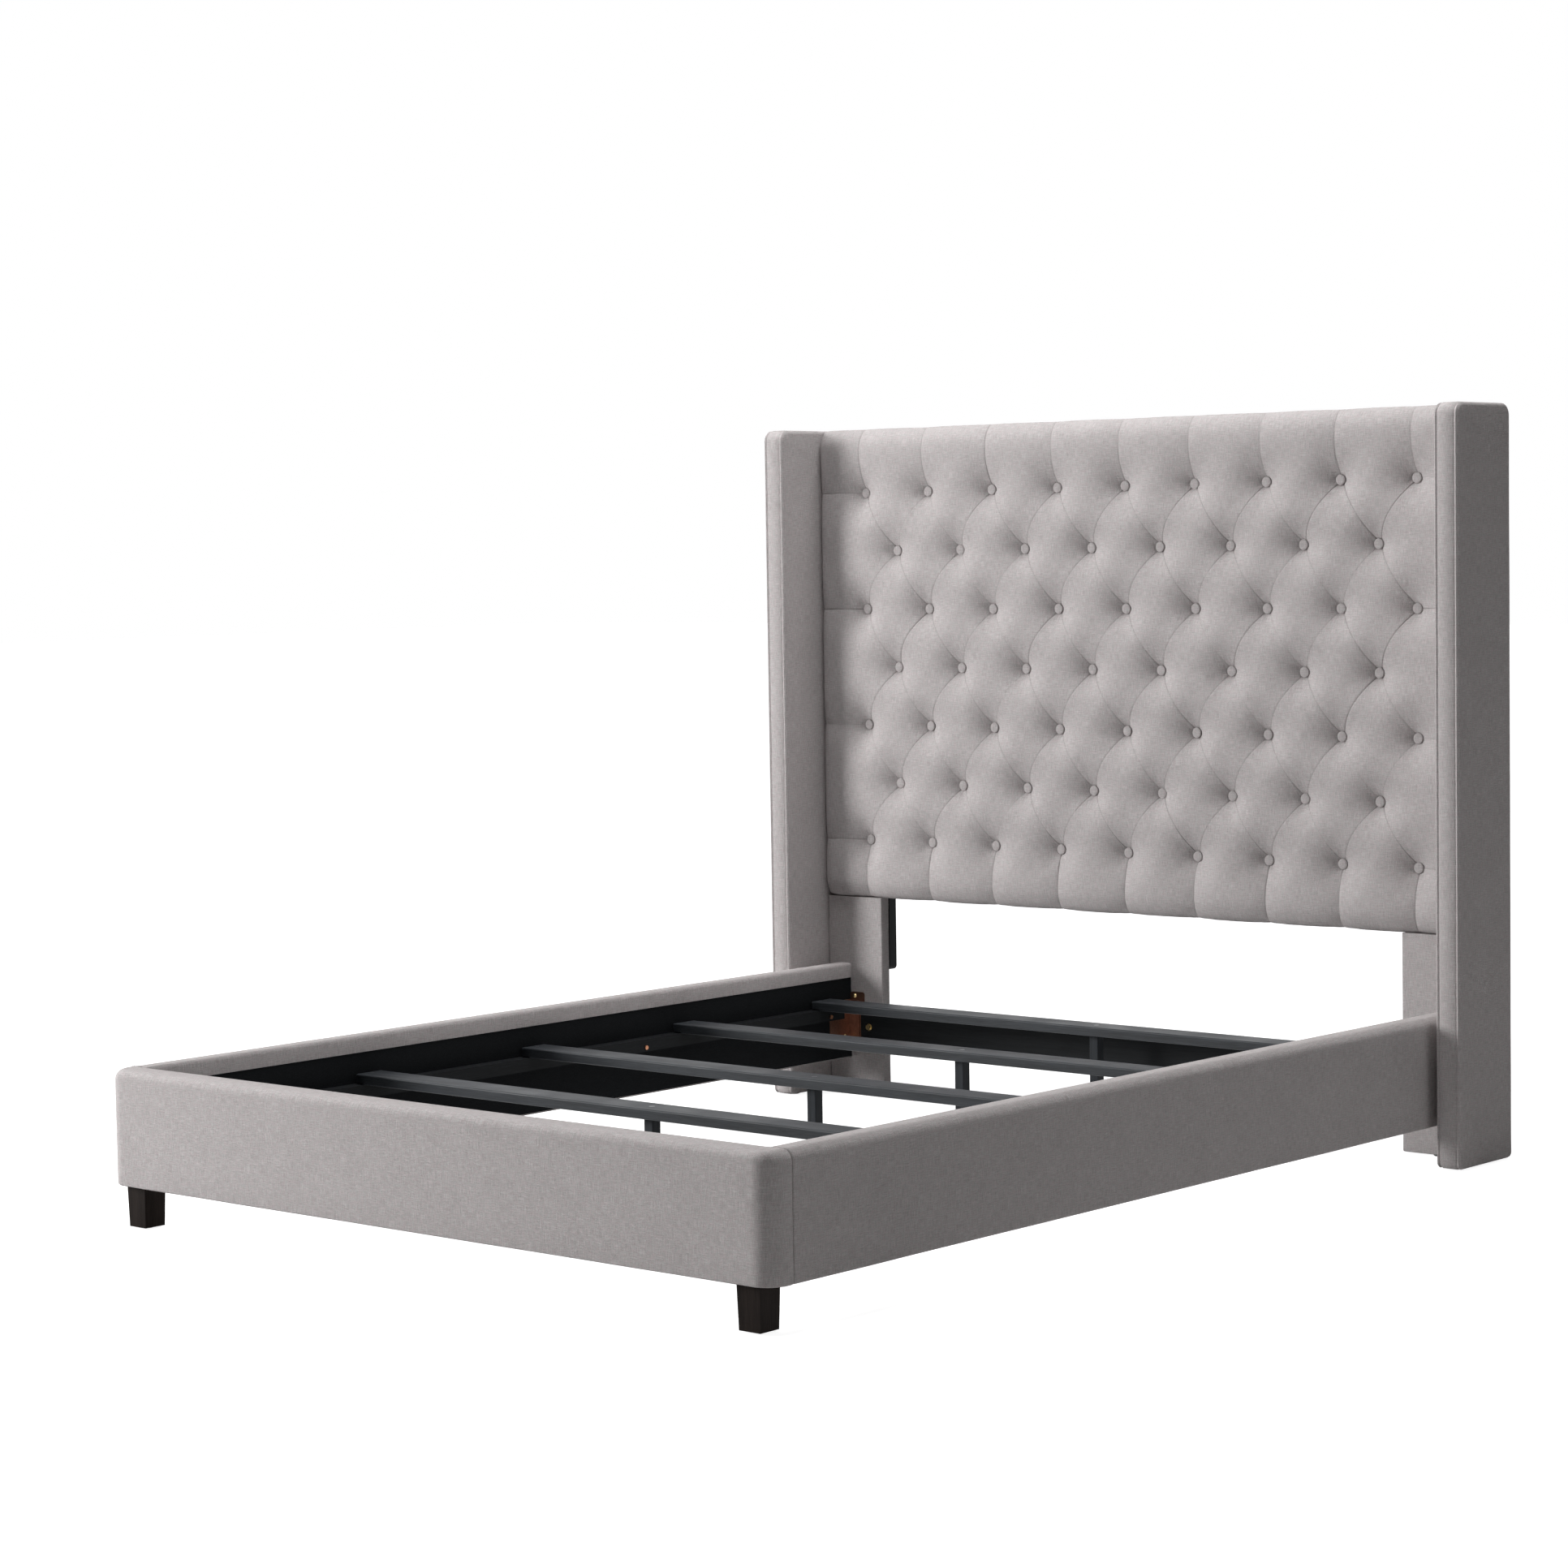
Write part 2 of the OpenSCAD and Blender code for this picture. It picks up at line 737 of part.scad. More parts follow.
module stretcher() {
    color(BLACK) difference() {
        block([-stretcher_x, stretcher_y, stretcher_z],
            [stretcher_x, post_y - seat_gap, stretcher_z + stretcher_h]);
        both() at_stretcher_bolts() rod_y(bolt_d + 2 * bolt_gap, stretcher_y - over, post_y);
    }
}

// Cap-headed bolts on washers, with a nut behind each post
module stretcher_bolts() {
    color(ZINC) both() at_stretcher_bolts() {
        rod_y(WASHER_W * bolt_d, stretcher_y - washer_t, stretcher_y);
        rod_y(CAP_W * bolt_d, stretcher_y - washer_t - HEX_H * bolt_d, stretcher_y - washer_t);
        rod_y(bolt_d, stretcher_y, frame_y0 + bolt_d);
        bolt_head(frame_y0);
    }
}

// ---------- side rails ----------

module rail_core() {
    color(WOOD) difference() {
        block([core_x0, foot_core_y1 + seat_gap, rail_core_z0],
            [core_x1, rail_end_y, rail_core_z1]);
        leaf_recess();
        rail_screw_holes();
    }
}

// Cross-section of the rail's padding, drawn in X and Z
module rail_section() {
    difference() {
        rounded([rail_in_x, rail_bottom_z], [rail_out_x, rail_top_z], 0, low_edge_r,
            top_edge_r, inner_edge_r);
        translate([core_x0 - seat_gap, rail_core_z0 - seat_gap])
            square([core_t + 2 * seat_gap, rail_core_z1 - rail_core_z0 + 2 * seat_gap]);
        translate([rail_in_x - over, rail_bottom_z - over])
            square([wrap_t - seat_gap + over + over, wrap_z - rail_bottom_z + over]);
    }
}

module rail_cover() {
    color(FABRIC) along_y(foot_in_y + seat_gap, rail_end_y) rail_section();
}

// The lining covers the core's inner face, with a cut-out for the hooked bracket
module rail_lining() {
    color(BLACK) difference() {
        block([lining_x, foot_in_y + seat_gap, rail_core_z0 + seat_gap],
            [lining_x + lining_t, rail_end_y, wrap_z - seat_gap]);
        leaf_recess();
        rail_screw_holes();
    }
}

module ledger() {
    color(BLACK) difference() {
        block([ledger_x0, ledger_y0, ledger_z], [ledger_x1, ledger_y1, slat_z]);
        at_ledger_bolts() rod_x(screw_d + 2 * bolt_gap, ledger_x0 - over, ledger_x1 + over);
        at_slat_screws() rod_z(slat_screw_d + 2 * bolt_gap, slat_screw_z - over, slat_z + over);
    }
}

// Bolts spread evenly along the ledger, below the tips of the slat screws
module at_ledger_bolts() {
    step = (ledger_y1 - ledger_y0 - 2 * ledger_bolt_inset) / (ledger_bolt_count - 1);
    for (i = [0 : ledger_bolt_count - 1])
        translate([0, ledger_y0 + ledger_bolt_inset + i * step, ledger_z + ledger_bolt_rise])
            children();
}

module rail_screw_holes() {
    at_ledger_bolts() rod_x(screw_d + 2 * bolt_gap, lining_x - over, rail_screw_x1 + over);
    at_leaf_screws() rod_x(screw_d + 2 * bolt_gap, lining_x - over, rail_screw_x1 + over);
    at_corner_rail_screws() rod_x(screw_d + 2 * bolt_gap, lining_x - over, rail_screw_x1 + over);
}

module ledger_bolts() {
    color(COPPER) both() at_ledger_bolts() {
        rod_x(screw_d, ledger_x0, rail_screw_x1);
        rod_x(PAN_W * screw_d, ledger_x0 - PAN_H * screw_d, ledger_x0);
    }
}

module left_rail_core() {
    left() rail_core();
}

module right_rail_core() {
    rail_core();
}

module left_rail_cover() {
    left() rail_cover();
}

module right_rail_cover() {
    rail_cover();
}

module left_rail_lining() {
    left() rail_lining();
}

module right_rail_lining() {
    rail_lining();
}

module left_ledger() {
    left() ledger();
}

module right_ledger() {
    ledger();
}

// ---------- hooked rail brackets ----------

// The leaf on the rail lies in a shallow recess, flush with the lining

module leaf_recess() {
    block([lining_x - over, leaf_y0 - seat_gap, bracket_z - seat_gap],
        [leaf_x1 + seat_gap, rail_end_y + over, bracket_top_z + seat_gap]);
}

// Four screws hold the leaf to the rail, in two rows
module at_leaf_screws() {
    for (z = screw_rows, i = [0, 1])
        translate([0, leaf_y0 + screw_edge_inset + i * screw_pitch, z]) children();
}

// Two hooks, one above the other
module at_hooks() {
    for (z = [bracket_z + hook_inset, bracket_top_z - hook_inset])
        translate([hook_x, 0, z]) children();
}

// A hook drawn in Y and Z, with its neck's underside at Z = 0: the neck goes through the
// plate's slot and the tongue drops behind the slot's lower edge
module hook_outline() {
    back_y = post_y - seat_gap + hook_gap;
    translate([turn_y + plate_t - over / 2, 0]) square([back_y - turn_y - plate_t + over,
        hook_neck_h]);
    rounded([back_y, hook_neck_h - hook_h], [back_y + hook_reach, hook_neck_h],
        hook_r / 2, hook_r, hook_r, 0);
}

module hook() {
    along_x(-hook_t / 2, hook_t / 2) hook_outline();
}

// Slot in the post plate: high enough for the whole hook to enter and then drop
module hook_slot() {
    block([-hook_t / 2 - hook_gap, plate_y - over, -hook_gap],
        [hook_t / 2 + hook_gap, plate_y + plate_t + over, hook_h + hook_gap]);
}

// Room for the hook in the post, behind the slot
module hook_pocket() {
    block([-hook_t / 2 - over, post_y - over, hook_neck_h - hook_h - over],
        [hook_t / 2 + over, post_y + hook_reach + over, hook_h + over]);
}

module hook_bracket() {
    color(BRONZE) difference() {
        union() {
            along_z_leaf();
            along_y(turn_y, turn_y + plate_t) rounded([turn_x0, bracket_z],
                [leaf_x1, bracket_top_z], plate_r, 0, 0, plate_r);
            at_hooks() hook();
        }
        at_leaf_screws() rod_x(screw_d + 2 * bolt_gap, lining_x - over, leaf_x1 + over);
    }
}

// The leaf that lies on the rail, with rounded outer corners
module along_z_leaf() {
    along_x(lining_x, leaf_x1) rounded([leaf_y0, bracket_z], [turn_y + plate_t, bracket_top_z],
        plate_r, 0, 0, plate_r);
}

module left_hook_bracket() {
    left() hook_bracket();
}

module right_hook_bracket() {
    hook_bracket();
}

module at_post_plate_bolts() {
    for (z = [bracket_z - post_plate_ear / 2, bracket_top_z + post_plate_ear / 2])
        translate([hook_x, 0, z]) children();
}

module post_plate() {
    color(BRONZE) difference() {
        along_y(plate_y, plate_y + plate_t) rounded([plate_x0, bracket_z - post_plate_ear],
            [plate_x1, bracket_top_z + post_plate_ear], plate_r, plate_r, plate_r, plate_r);
        at_hooks() hook_slot();
        at_post_plate_bolts() rod_y(screw_d + 2 * bolt_gap, plate_y - over,
            plate_y + plate_t + over);
    }
}

module left_post_plate() {
    left() post_plate();
}

module right_post_plate() {
    post_plate();
}

// Round-headed bolts through the ears of the post plate
module post_plate_bolts() {
    color(ZINC) both() at_post_plate_bolts() {
        rod_y(screw_d, plate_y, post_bolt_tip_y);
        pan_head(DOME_W * screw_d, DOME_H * screw_d, plate_y);
    }
}

// A domed head of diameter d and height h that stands on a face that looks along -Y
module pan_head(d, h, y) {
    r = (pow(d / 2, 2) + h * h) / (2 * h);
    translate([0, y, 0]) rotate([90, 0, 0]) rotate_extrude() intersection() {
        translate([0, h - r]) circle(r);
        square([d / 2, h]);
    }
}

module bracket_screws() {
    color(ZINC) both() at_leaf_screws() {
        rod_x(screw_d, lining_x, rail_screw_x1);
        rotate([0, 0, -90]) pan_head(PAN_W * screw_d, PAN_H * screw_d, lining_x);
    }
}

// ---------- footboard ----------

module footboard_core() {
    color(WOOD) difference() {
        translate([0, 0, rail_core_z0]) linear_extrude(rail_core_z1 - rail_core_z0)
            rounded([-core_x1, foot_core_y0], [core_x1, foot_core_y1], foot_core_r,
                foot_core_r, 0, 0);
        both() at_front_leg() rod_z(bolt_d + 2 * bolt_gap, rail_core_z0 - over,
            rail_bottom_z + hanger_l + over);
        both() at_corner_foot_screws() rod_y(screw_d + 2 * bolt_gap, corner_tip_y - over,
            foot_core_y1 + over);
    }
}

// Section through the front padding, from the outer face inwards and rounded at the top
module foot_section(depth) {
    rounded([0, rail_bottom_z], [depth, rail_top_z], low_edge_r, 0, 0, top_edge_r);
}

// Outer shape of the footboard: straight front, two turned corners and two short returns
module foot_outside() {
    along_x(-corner_x, corner_x) translate([foot_y, 0]) foot_section(foot_t);
    both() {
        translate([corner_x, corner_y, 0]) rotate([0, 0, -90]) rotate_extrude(angle = 90)
            translate([corner_r, 0]) mirror([1, 0]) foot_section(corner_r);
        along_y(corner_y, foot_in_y) translate([rail_out_x, 0]) mirror([1, 0])
            foot_section(corner_r);
    }
}

module footboard_cover() {
    color(FABRIC) difference() {
        foot_outside();
        block([-core_x1 - seat_gap, foot_core_y0 - seat_gap, rail_core_z0 - seat_gap],
            [core_x1 + seat_gap, foot_core_y1 + seat_gap, rail_core_z1 + seat_gap]);
        block([-core_x1 - seat_gap, foot_core_y1, rail_core_z0 - seat_gap],
            [core_x1 + seat_gap, foot_in_y + over, wrap_z]);
        both() block([rail_in_x, foot_core_y1, rail_core_z0 - seat_gap],
            [core_x1 + seat_gap, foot_in_y + over, rail_core_z1 + seat_gap]);
        both() at_front_leg() rod_z(bolt_d + 2 * bolt_gap, rail_bottom_z - over, rail_core_z0);
    }
}

module footboard_lining() {
    color(BLACK) difference() {
        block([-rail_in_x, foot_lining_y, rail_core_z0 + seat_gap],
            [rail_in_x, foot_lining_y + lining_t, wrap_z - seat_gap]);
        both() at_corner_foot_screws() rod_y(screw_d + 2 * bolt_gap, foot_core_y1, foot_in_y);
    }
}

// Angle brackets inside the two front corners

module at_corner_foot_screws() {
    for (z = screw_rows)
        translate([corner_br_x1 - corner_leaf + corner_screw_inset, 0, z]) children();
}

module at_corner_rail_screws() {
    for (z = screw_rows)
        translate([0, corner_br_y + corner_leaf - corner_screw_inset, z]) children();
}

module corner_brackets() {
    color(BRONZE) both() difference() {
        union() {
            along_y(corner_br_y, corner_br_y + plate_t) rounded(
                [corner_br_x1 - corner_leaf, bracket_z], [corner_br_x1, bracket_top_z],
                plate_r, 0, 0, plate_r);
            along_x(corner_br_x1 - plate_t, corner_br_x1) rounded([corner_br_y, bracket_z],
                [corner_br_y + corner_leaf, bracket_top_z], 0, plate_r, plate_r, 0);
        }
        at_corner_foot_screws() rod_y(screw_d + 2 * bolt_gap, corner_br_y - over,
            corner_br_y + plate_t + over);
        at_corner_rail_screws() rod_x(screw_d + 2 * bolt_gap, corner_br_x1 - plate_t - over,
            corner_br_x1 + over);
    }
}

module corner_bolts() {
    color(ZINC) both() {
        at_corner_foot_screws() {
            rod_y(screw_d, corner_tip_y, corner_br_y + plate_t);
            mirror([0, 1, 0]) pan_head(PAN_W * screw_d, PAN_H * screw_d, -corner_br_y - plate_t);
        }
        at_corner_rail_screws() {
            rod_x(screw_d, corner_br_x1 - plate_t, rail_screw_x1);
            rotate([0, 0, -90]) pan_head(PAN_W * screw_d, PAN_H * screw_d, corner_br_x1 - plate_t);
        }
    }
}

// ---------- front legs ----------

module at_front_leg() {
    translate([front_leg_x, front_leg_y, 0]) children();
}

// Side view of the tapered leg
module leg_taper() {
    polygon([[-front_leg_foot / 2, glide_h], [front_leg_foot / 2, glide_h],
        [front_leg_top / 2, front_leg_z1], [-front_leg_top / 2, front_leg_z1]]);
}

module front_leg() {
    color(ESPRESSO) at_front_leg() difference() {
        intersection() {
            along_x(-front_leg_top / 2, front_leg_top / 2) leg_taper();
            along_y(-front_leg_top / 2, front_leg_top / 2) leg_taper();
        }
        rod_z(bolt_d + 2 * bolt_gap, rail_bottom_z - hanger_l - over, rail_bottom_z + over);
    }
}

module left_front_leg() {
    left() front_leg();
}

module right_front_leg() {
    front_leg();
}

module hanger_bolts() {
    color(ZINC) both() at_front_leg() rod_z(bolt_d, rail_bottom_z - hanger_l,
        rail_bottom_z + hanger_l);
}

module leg_glides() {
    color(PLASTIC) both() at_front_leg() glide(glide_d);
}

// ---------- slats and centre legs ----------

// Slats are numbered from the head of the bed to its foot
function slat_y(i) = post_y - first_slat_gap - (i - 1) * slat_pitch;

module at_slat_screws() {
    for (i = [1 : 4]) translate([slat_screw_x, slat_y(i), 0]) children();
}

// Countersunk head with its top face at the slat's upper face
module countersunk(d, z) {
    translate([0, 0, z - d / 2]) cylinder(d1 = d, d2 = 2 * d, h = d / 2);
}

module slat(i) {
    y = slat_y(i);
    color(SLAT) difference() {
        bar_x([-slat_x, y - slat_w / 2, slat_z], [slat_x, y + slat_w / 2, slat_top_z], slat_r);
        translate([0, y, 0]) rod_z(centre_bolt_d + 2 * bolt_gap, slat_z - over,
            slat_top_z + over);
        translate([0, y, 0]) countersunk(centre_bolt_d + 2 * bolt_gap, slat_top_z + bolt_gap);
        both() translate([slat_screw_x, y, 0]) {
            rod_z(slat_screw_d + 2 * bolt_gap, slat_z - over, slat_top_z + over);
            countersunk(slat_screw_d + 2 * bolt_gap, slat_top_z + bolt_gap);
        }
    }
}

module slat_1() {
    slat(1);
}

module slat_2() {
    slat(2);
}

module slat_3() {
    slat(3);
}

module slat_4() {
    slat(4);
}

module slat_screws() {
    color(ZINC) both() at_slat_screws() {
        rod_z(slat_screw_d, slat_screw_z, slat_top_z - slat_screw_d / 2);
        countersunk(slat_screw_d, slat_top_z - bolt_gap);
    }
}

module centre_bolts() {
    color(ZINC) for (i = [1 : 4]) translate([0, slat_y(i), 0]) {
        rod_z(centre_bolt_d, centre_bolt_z, slat_top_z - centre_bolt_d / 2);
        countersunk(centre_bolt_d, slat_top_z - bolt_gap);
    }
}

module centre_leg(i) {
    color(SLAT) translate([0, slat_y(i), 0]) difference() {
        translate([0, 0, leg_low_z]) linear_extrude(slat_z - leg_low_z) rounded(
            [-leg_side / 2, -leg_side / 2], [leg_side / 2, leg_side / 2], leg_edge_r,
            leg_edge_r, leg_edge_r, leg_edge_r);
        rod_z(insert_d + 2 * bolt_gap, leg_low_z - over, leg_low_z + insert_l + bolt_gap);
        rod_z(stem_d + 2 * stem_room, leg_low_z, stem_top_z + stem_travel);
        rod_z(centre_bolt_d + 2 * bolt_gap, centre_bolt_z - over, slat_z + over);
    }
}

module centre_leg_1() {
    centre_leg(1);
}

module centre_leg_2() {
    centre_leg(2);
}

module centre_leg_3() {
    centre_leg(3);
}

module centre_leg_4() {
    centre_leg(4);
}

module leg_inserts() {
    color(ZINC) for (i = [1 : 4]) translate([0, slat_y(i), 0]) difference() {
        rod_z(insert_d, leg_low_z, leg_low_z + insert_l);
        rod_z(stem_d + 2 * stem_gap, leg_low_z - over, leg_low_z + insert_l + over);
    }
}

// A levelling glide: a domed plastic pad on a stem that screws into the leg
module leveller(i) {
    rim = level_pad_h / 3;
    color(PLASTIC) translate([0, slat_y(i), 0]) {
        rotate_extrude() polygon([[0, 0], [level_pad_d / 2 - rim, 0], [level_pad_d / 2, rim],
            [level_pad_d / 2, 2 * rim], [stem_d, level_pad_h], [0, level_pad_h]]);
        rod_z(stem_d, level_pad_h - over, stem_top_z);
    }
}

module leveller_1() {
    leveller(1);
}

module leveller_2() {
    leveller(2);
}

module leveller_3() {
    leveller(3);
}

module leveller_4() {
    leveller(4);
}

tufted_pad();
tuft_buttons();
headboard_ply();
headboard_frame();
back_cloth();
left_strut();
right_strut();
strut_bolts();
left_wing_core();
right_wing_core();
left_wing_cover();
right_wing_cover();
wing_bolts();
left_post_core();
right_post_core();
left_post_cover();
right_post_cover();
headboard_glides();
stretcher();
stretcher_bolts();
left_rail_core();
right_rail_core();
left_rail_cover();
right_rail_cover();
left_rail_lining();
right_rail_lining();
left_ledger();
right_ledger();
ledger_bolts();
left_hook_bracket();
right_hook_bracket();
left_post_plate();
right_post_plate();
bracket_screws();
post_plate_bolts();
footboard_core();
footboard_cover();
footboard_lining();
corner_brackets();
corner_bolts();
left_front_leg();
right_front_leg();
hanger_bolts();
leg_glides();
slat_1();
slat_2();
slat_3();
slat_4();
slat_screws();
centre_leg_1();
centre_leg_2();
centre_leg_3();
centre_leg_4();
centre_bolts();
leg_inserts();
leveller_1();
leveller_2();
leveller_3();
leveller_4();
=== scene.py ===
import math

import bmesh
import bpy
import numpy as np
from bpy.props import FloatProperty, FloatVectorProperty, IntProperty, PointerProperty
from mathutils import Matrix, Vector, noise


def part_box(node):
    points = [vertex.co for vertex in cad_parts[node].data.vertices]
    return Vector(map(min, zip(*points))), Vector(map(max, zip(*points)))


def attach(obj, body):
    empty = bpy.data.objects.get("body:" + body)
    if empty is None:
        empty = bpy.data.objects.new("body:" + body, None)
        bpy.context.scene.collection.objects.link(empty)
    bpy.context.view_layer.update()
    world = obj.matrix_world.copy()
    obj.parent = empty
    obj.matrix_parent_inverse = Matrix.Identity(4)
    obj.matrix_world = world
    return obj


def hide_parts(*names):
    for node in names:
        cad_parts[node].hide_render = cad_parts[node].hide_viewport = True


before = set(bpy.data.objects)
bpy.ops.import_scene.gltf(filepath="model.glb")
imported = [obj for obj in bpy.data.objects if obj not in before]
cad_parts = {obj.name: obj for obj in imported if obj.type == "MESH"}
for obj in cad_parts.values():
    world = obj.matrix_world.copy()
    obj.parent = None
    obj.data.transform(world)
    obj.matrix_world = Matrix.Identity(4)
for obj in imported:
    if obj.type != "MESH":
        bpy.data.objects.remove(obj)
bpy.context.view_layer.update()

bl_info = {
    "name": "Upholstered Bed",
    "version": (1, 0, 0),
    "blender": (4, 5, 0),
    "location": "View3D > Sidebar > Bed",
    "description": "Dresses the frame of a wingback bed in tufted linen, paint, wood and steel",
    "category": "Object",
}

BED = "bed_frame"
# All in metres: the gap that keeps two faces apart, two distances at which places count as one,
# how thick the linen and the black lining are, and how far a rail's lining gapes.
SKIN = 0.0003
SAME = 1e-6
MERGE = 1e-5
LINEN = 0.002
LINING = 0.0012
GAPE = 0.0016


# ---------- sizes and colours ----------

def metres(name, about, default, low, high, digits=4):
    """A setting in metres, with its least and greatest value."""
    return FloatProperty(
        name=name, description=about, default=default, min=low, max=high, unit="LENGTH",
        precision=digits)


def number(name, about, default, low, high):
    return FloatProperty(name=name, description=about, default=default, min=low, max=high)


def whole(name, about, default, low, high):
    return IntProperty(name=name, description=about, default=default, min=low, max=high)


def rgb(name, about, default):
    return FloatVectorProperty(
        name=name, description=about, default=default, subtype="COLOR", min=0, max=1)


def angle(name, about, default):
    return FloatProperty(
        name=name, description=about, default=default, subtype="ANGLE", unit="ROTATION")


def watts(name, about, default):
    return FloatProperty(name=name, description=about, default=default, min=0, unit="POWER")


class BedLinenSettings(bpy.types.PropertyGroup):
    light: rgb("Light threads", "Colour of the pale threads in the linen",
        (0.655, 0.602, 0.604))
    light_cool: rgb("Light cool threads",
        "Colour of the pale threads where the cloth is cooler", (0.630, 0.612, 0.604))
    dark: rgb("Dark threads", "Colour of the dark threads in the linen", (0.384, 0.338, 0.341))
    dark_cool: rgb("Dark cool threads", "Colour of the dark threads where the cloth is cooler",
        (0.368, 0.350, 0.345))
    # Painted shade: the colour that the linen is darkened to along the tufting folds and round
    # each button's rim.
    painted_fold_shade: rgb("Folds", "Colour at the bottom of a tufting fold", (0.20, 0.175, 0.17))
    thread_pitch: metres("Thread pitch", "Distance from one thread of the weave to the next",
        0.0011, 0.0004, 0.004, 5)
    slub_width: metres("Slub width", "Width of the thick places in the linen's threads",
        0.0012, 0.0005, 0.01, 5)
    slub_length: metres("Slub length", "Length of the thick places in the linen's threads",
        0.020, 0.005, 0.1)
    seam_depth: metres("Seam depth", "How far a seam sinks into the padding", 0.0022, 0, 0.005)
    seam_width: metres("Seam width", "Half width of the groove along a seam", 0.0026, 0.0005, 0.01)
    tuck: metres("Tuck", "How far a cover rolls in where it meets the next one", 0.0034, 0, 0.008)
    tuck_reach: metres("Tuck reach", "Distance over which a cover rolls in at its end",
        0.0050, 0.001, 0.02)
    softness: metres("Softness", "Height of the slow waves in a stretched cover", 0.0007, 0, 0.003)


class BedTuftSettings(bpy.types.PropertyGroup):
    rows: whole("Rows", "Rows of buttons, which have to match the frame's", 7, 3, 11)
    columns: whole("Columns", "Buttons in the longer rows, which have to match the frame's",
        9, 3, 15)
    button_diameter: metres("Button diameter", "Diameter of a covered button", 0.023, 0.015, 0.04)
    button_height: metres("Button height", "Height of a covered button", 0.0048, 0.003, 0.007)
    dimple_depth: metres("Dimple depth", "How deep a button pulls the padding in",
        0.0290, 0.005, 0.03)
    dimple_reach: metres("Dimple reach", "Distance from a button at which its dimple ends",
        0.088, 0.03, 0.12)
    dimple_curve: number("Dimple curve", "How much steeper a dimple is beside its button",
        2.7, 1.2, 5)
    low_pleat: metres("Low pleats", "Depth of the hollows along the pleats to the lower edge",
        0.0120, 0, 0.02)
    top_pleat: metres("Top pleats", "Depth of the hollows along the pleats to the upper edge",
        0.0050, 0, 0.02)
    side_pleat: metres("Side pleats", "Depth of the hollows along the pleats to the wings",
        0.0040, 0, 0.02)
    fold_depth: metres("Fold depth", "Depth of the valley along a fold", 0.0003, 0, 0.01)
    fold_width: metres("Fold width", "Distance over which a fold's valley rises",
        0.005, 0.002, 0.03)
    fold_slit: metres("Fold slit", "Depth of the tucked slit at the bottom of a fold",
        0.0013, 0, 0.005)
    fold_line: metres("Fold line", "Half width of the tucked slit", 0.0008, 0.0003, 0.003, 5)
    fold_bow: metres("Fold bow", "How far a fold bends away from a straight line",
        0.0042, -0.02, 0.02)
    side_roll: metres("Side roll", "How far the padding rolls back beside a wing", 0.020, 0, 0.03)
    side_reach: metres("Side reach", "Width of the padding's roll beside a wing",
        0.036, 0.005, 0.06)
    edge_depth: metres("Edge depth", "How far the upper and lower edges roll back",
        0.030, 0.005, 0.036)
    edge_height: metres("Edge height", "Height over which the upper and lower edges roll back",
        0.044, 0.01, 0.1)
    cuts: whole("Cuts", "Faces along one side of a tufted diamond", 19, 8, 60)
    sheet_cell: metres("Sheet cell", "Mesh size of the sheet that is blown up as cloth",
        0.010, 0.005, 0.03)
    stuffing: number("Stuffing", "Pressure of the stuffing under the linen", 4.0, 0, 30)
    settling: whole("Settling", "Frames over which the linen settles on its stuffing", 16, 4, 60)
    most_swell: metres("Most swell", "The furthest that the linen may move as it settles",
        0.0030, 0, 0.01)


class BedCoverSettings(bpy.types.PropertyGroup):
    wing_edge: metres("Wing edge", "Rounding along the upright edges of a wing",
        0.009, 0.002, 0.012)
    wing_top: metres("Wing top", "Rounding of a wing's top corners, seen from the side",
        0.025, 0.01, 0.04)
    wing_foot: metres("Wing foot", "Rounding of a wing's lower corners, seen from the side",
        0.012, 0.005, 0.02)
    top_edge: metres("Top edge", "Rounding of the outer top edge of a rail", 0.020, 0.01, 0.024)
    inner_edge: metres("Inner edge", "Rounding of the inner top edge of a rail",
        0.008, 0.003, 0.009)
    low_edge: metres("Low edge", "Rounding of the lower edge of a rail", 0.005, 0.002, 0.008)
    corner: metres("Corner", "Rounding of the footboard's corners, seen from above",
        0.042, 0.03, 0.046)
    wrap_drop: metres("Wrap drop", "How far the linen comes down inside a rail", 0.034, 0.02, 0.06)
    stitch_pitch: metres("Stitch pitch", "Distance between the hand stitches at a corner",
        0.005, 0.003, 0.012)


class BedFinishSettings(bpy.types.PropertyGroup):
    cloth: rgb("Lining", "Colour of the black lining cloth", (0.0065, 0.0072, 0.0080))
    paint: rgb("Slat paint", "Colour of the satin paint on the slats", (0.025, 0.028, 0.032))
    black_wood: rgb("Black wood", "Colour of the stained stretcher, ledgers and struts",
        (0.010, 0.011, 0.012))
    leg_wood: rgb("Leg wood", "Colour of the dark stain on the front legs",
        (0.0155, 0.0115, 0.0100))
    bronze: rgb("Bronze", "Colour of the plated brackets", (0.27, 0.150, 0.108))
    zinc: rgb("Zinc", "Colour of the yellow zinc on the bolts", (0.60, 0.47, 0.24))
    copper: rgb("Copper", "Colour of the coppered bolt heads", (0.62, 0.29, 0.17))


class BedStudioSettings(bpy.types.PropertyGroup):
    camera_place: FloatVectorProperty(
        name="Camera", description="Where the camera stands",
        default=(4.654, -5.4203, 1.2597), subtype="TRANSLATION", unit="LENGTH")
    camera_yaw: angle("Yaw", "How far the camera turns to the left of straight ahead", 0.718)
    camera_pitch: angle("Pitch", "How far the camera looks down", 0.0646)
    camera_roll: angle("Roll", "How far the camera is tipped", -0.016)
    lens: FloatProperty(
        name="Lens", description="Focal length on a 36 mm sensor",
        default=84.45, min=20, max=300, unit="CAMERA")
    key_power: watts("Key lamp", "Power of the large lamp at the front left", 448.0)
    fill_power: watts("Fill lamp", "Power of the weak lamp on the right", 37.0)
    top_power: watts("Top lamp", "Power of the wide lamp over the bed", 185.0)
    world_level: number("Room light", "Strength of the light from all round", 0.038, 0, 2)
    floor_colour: rgb("Floor", "Colour of the studio floor", (0.50, 0.50, 0.50))


# ---------- materials ----------

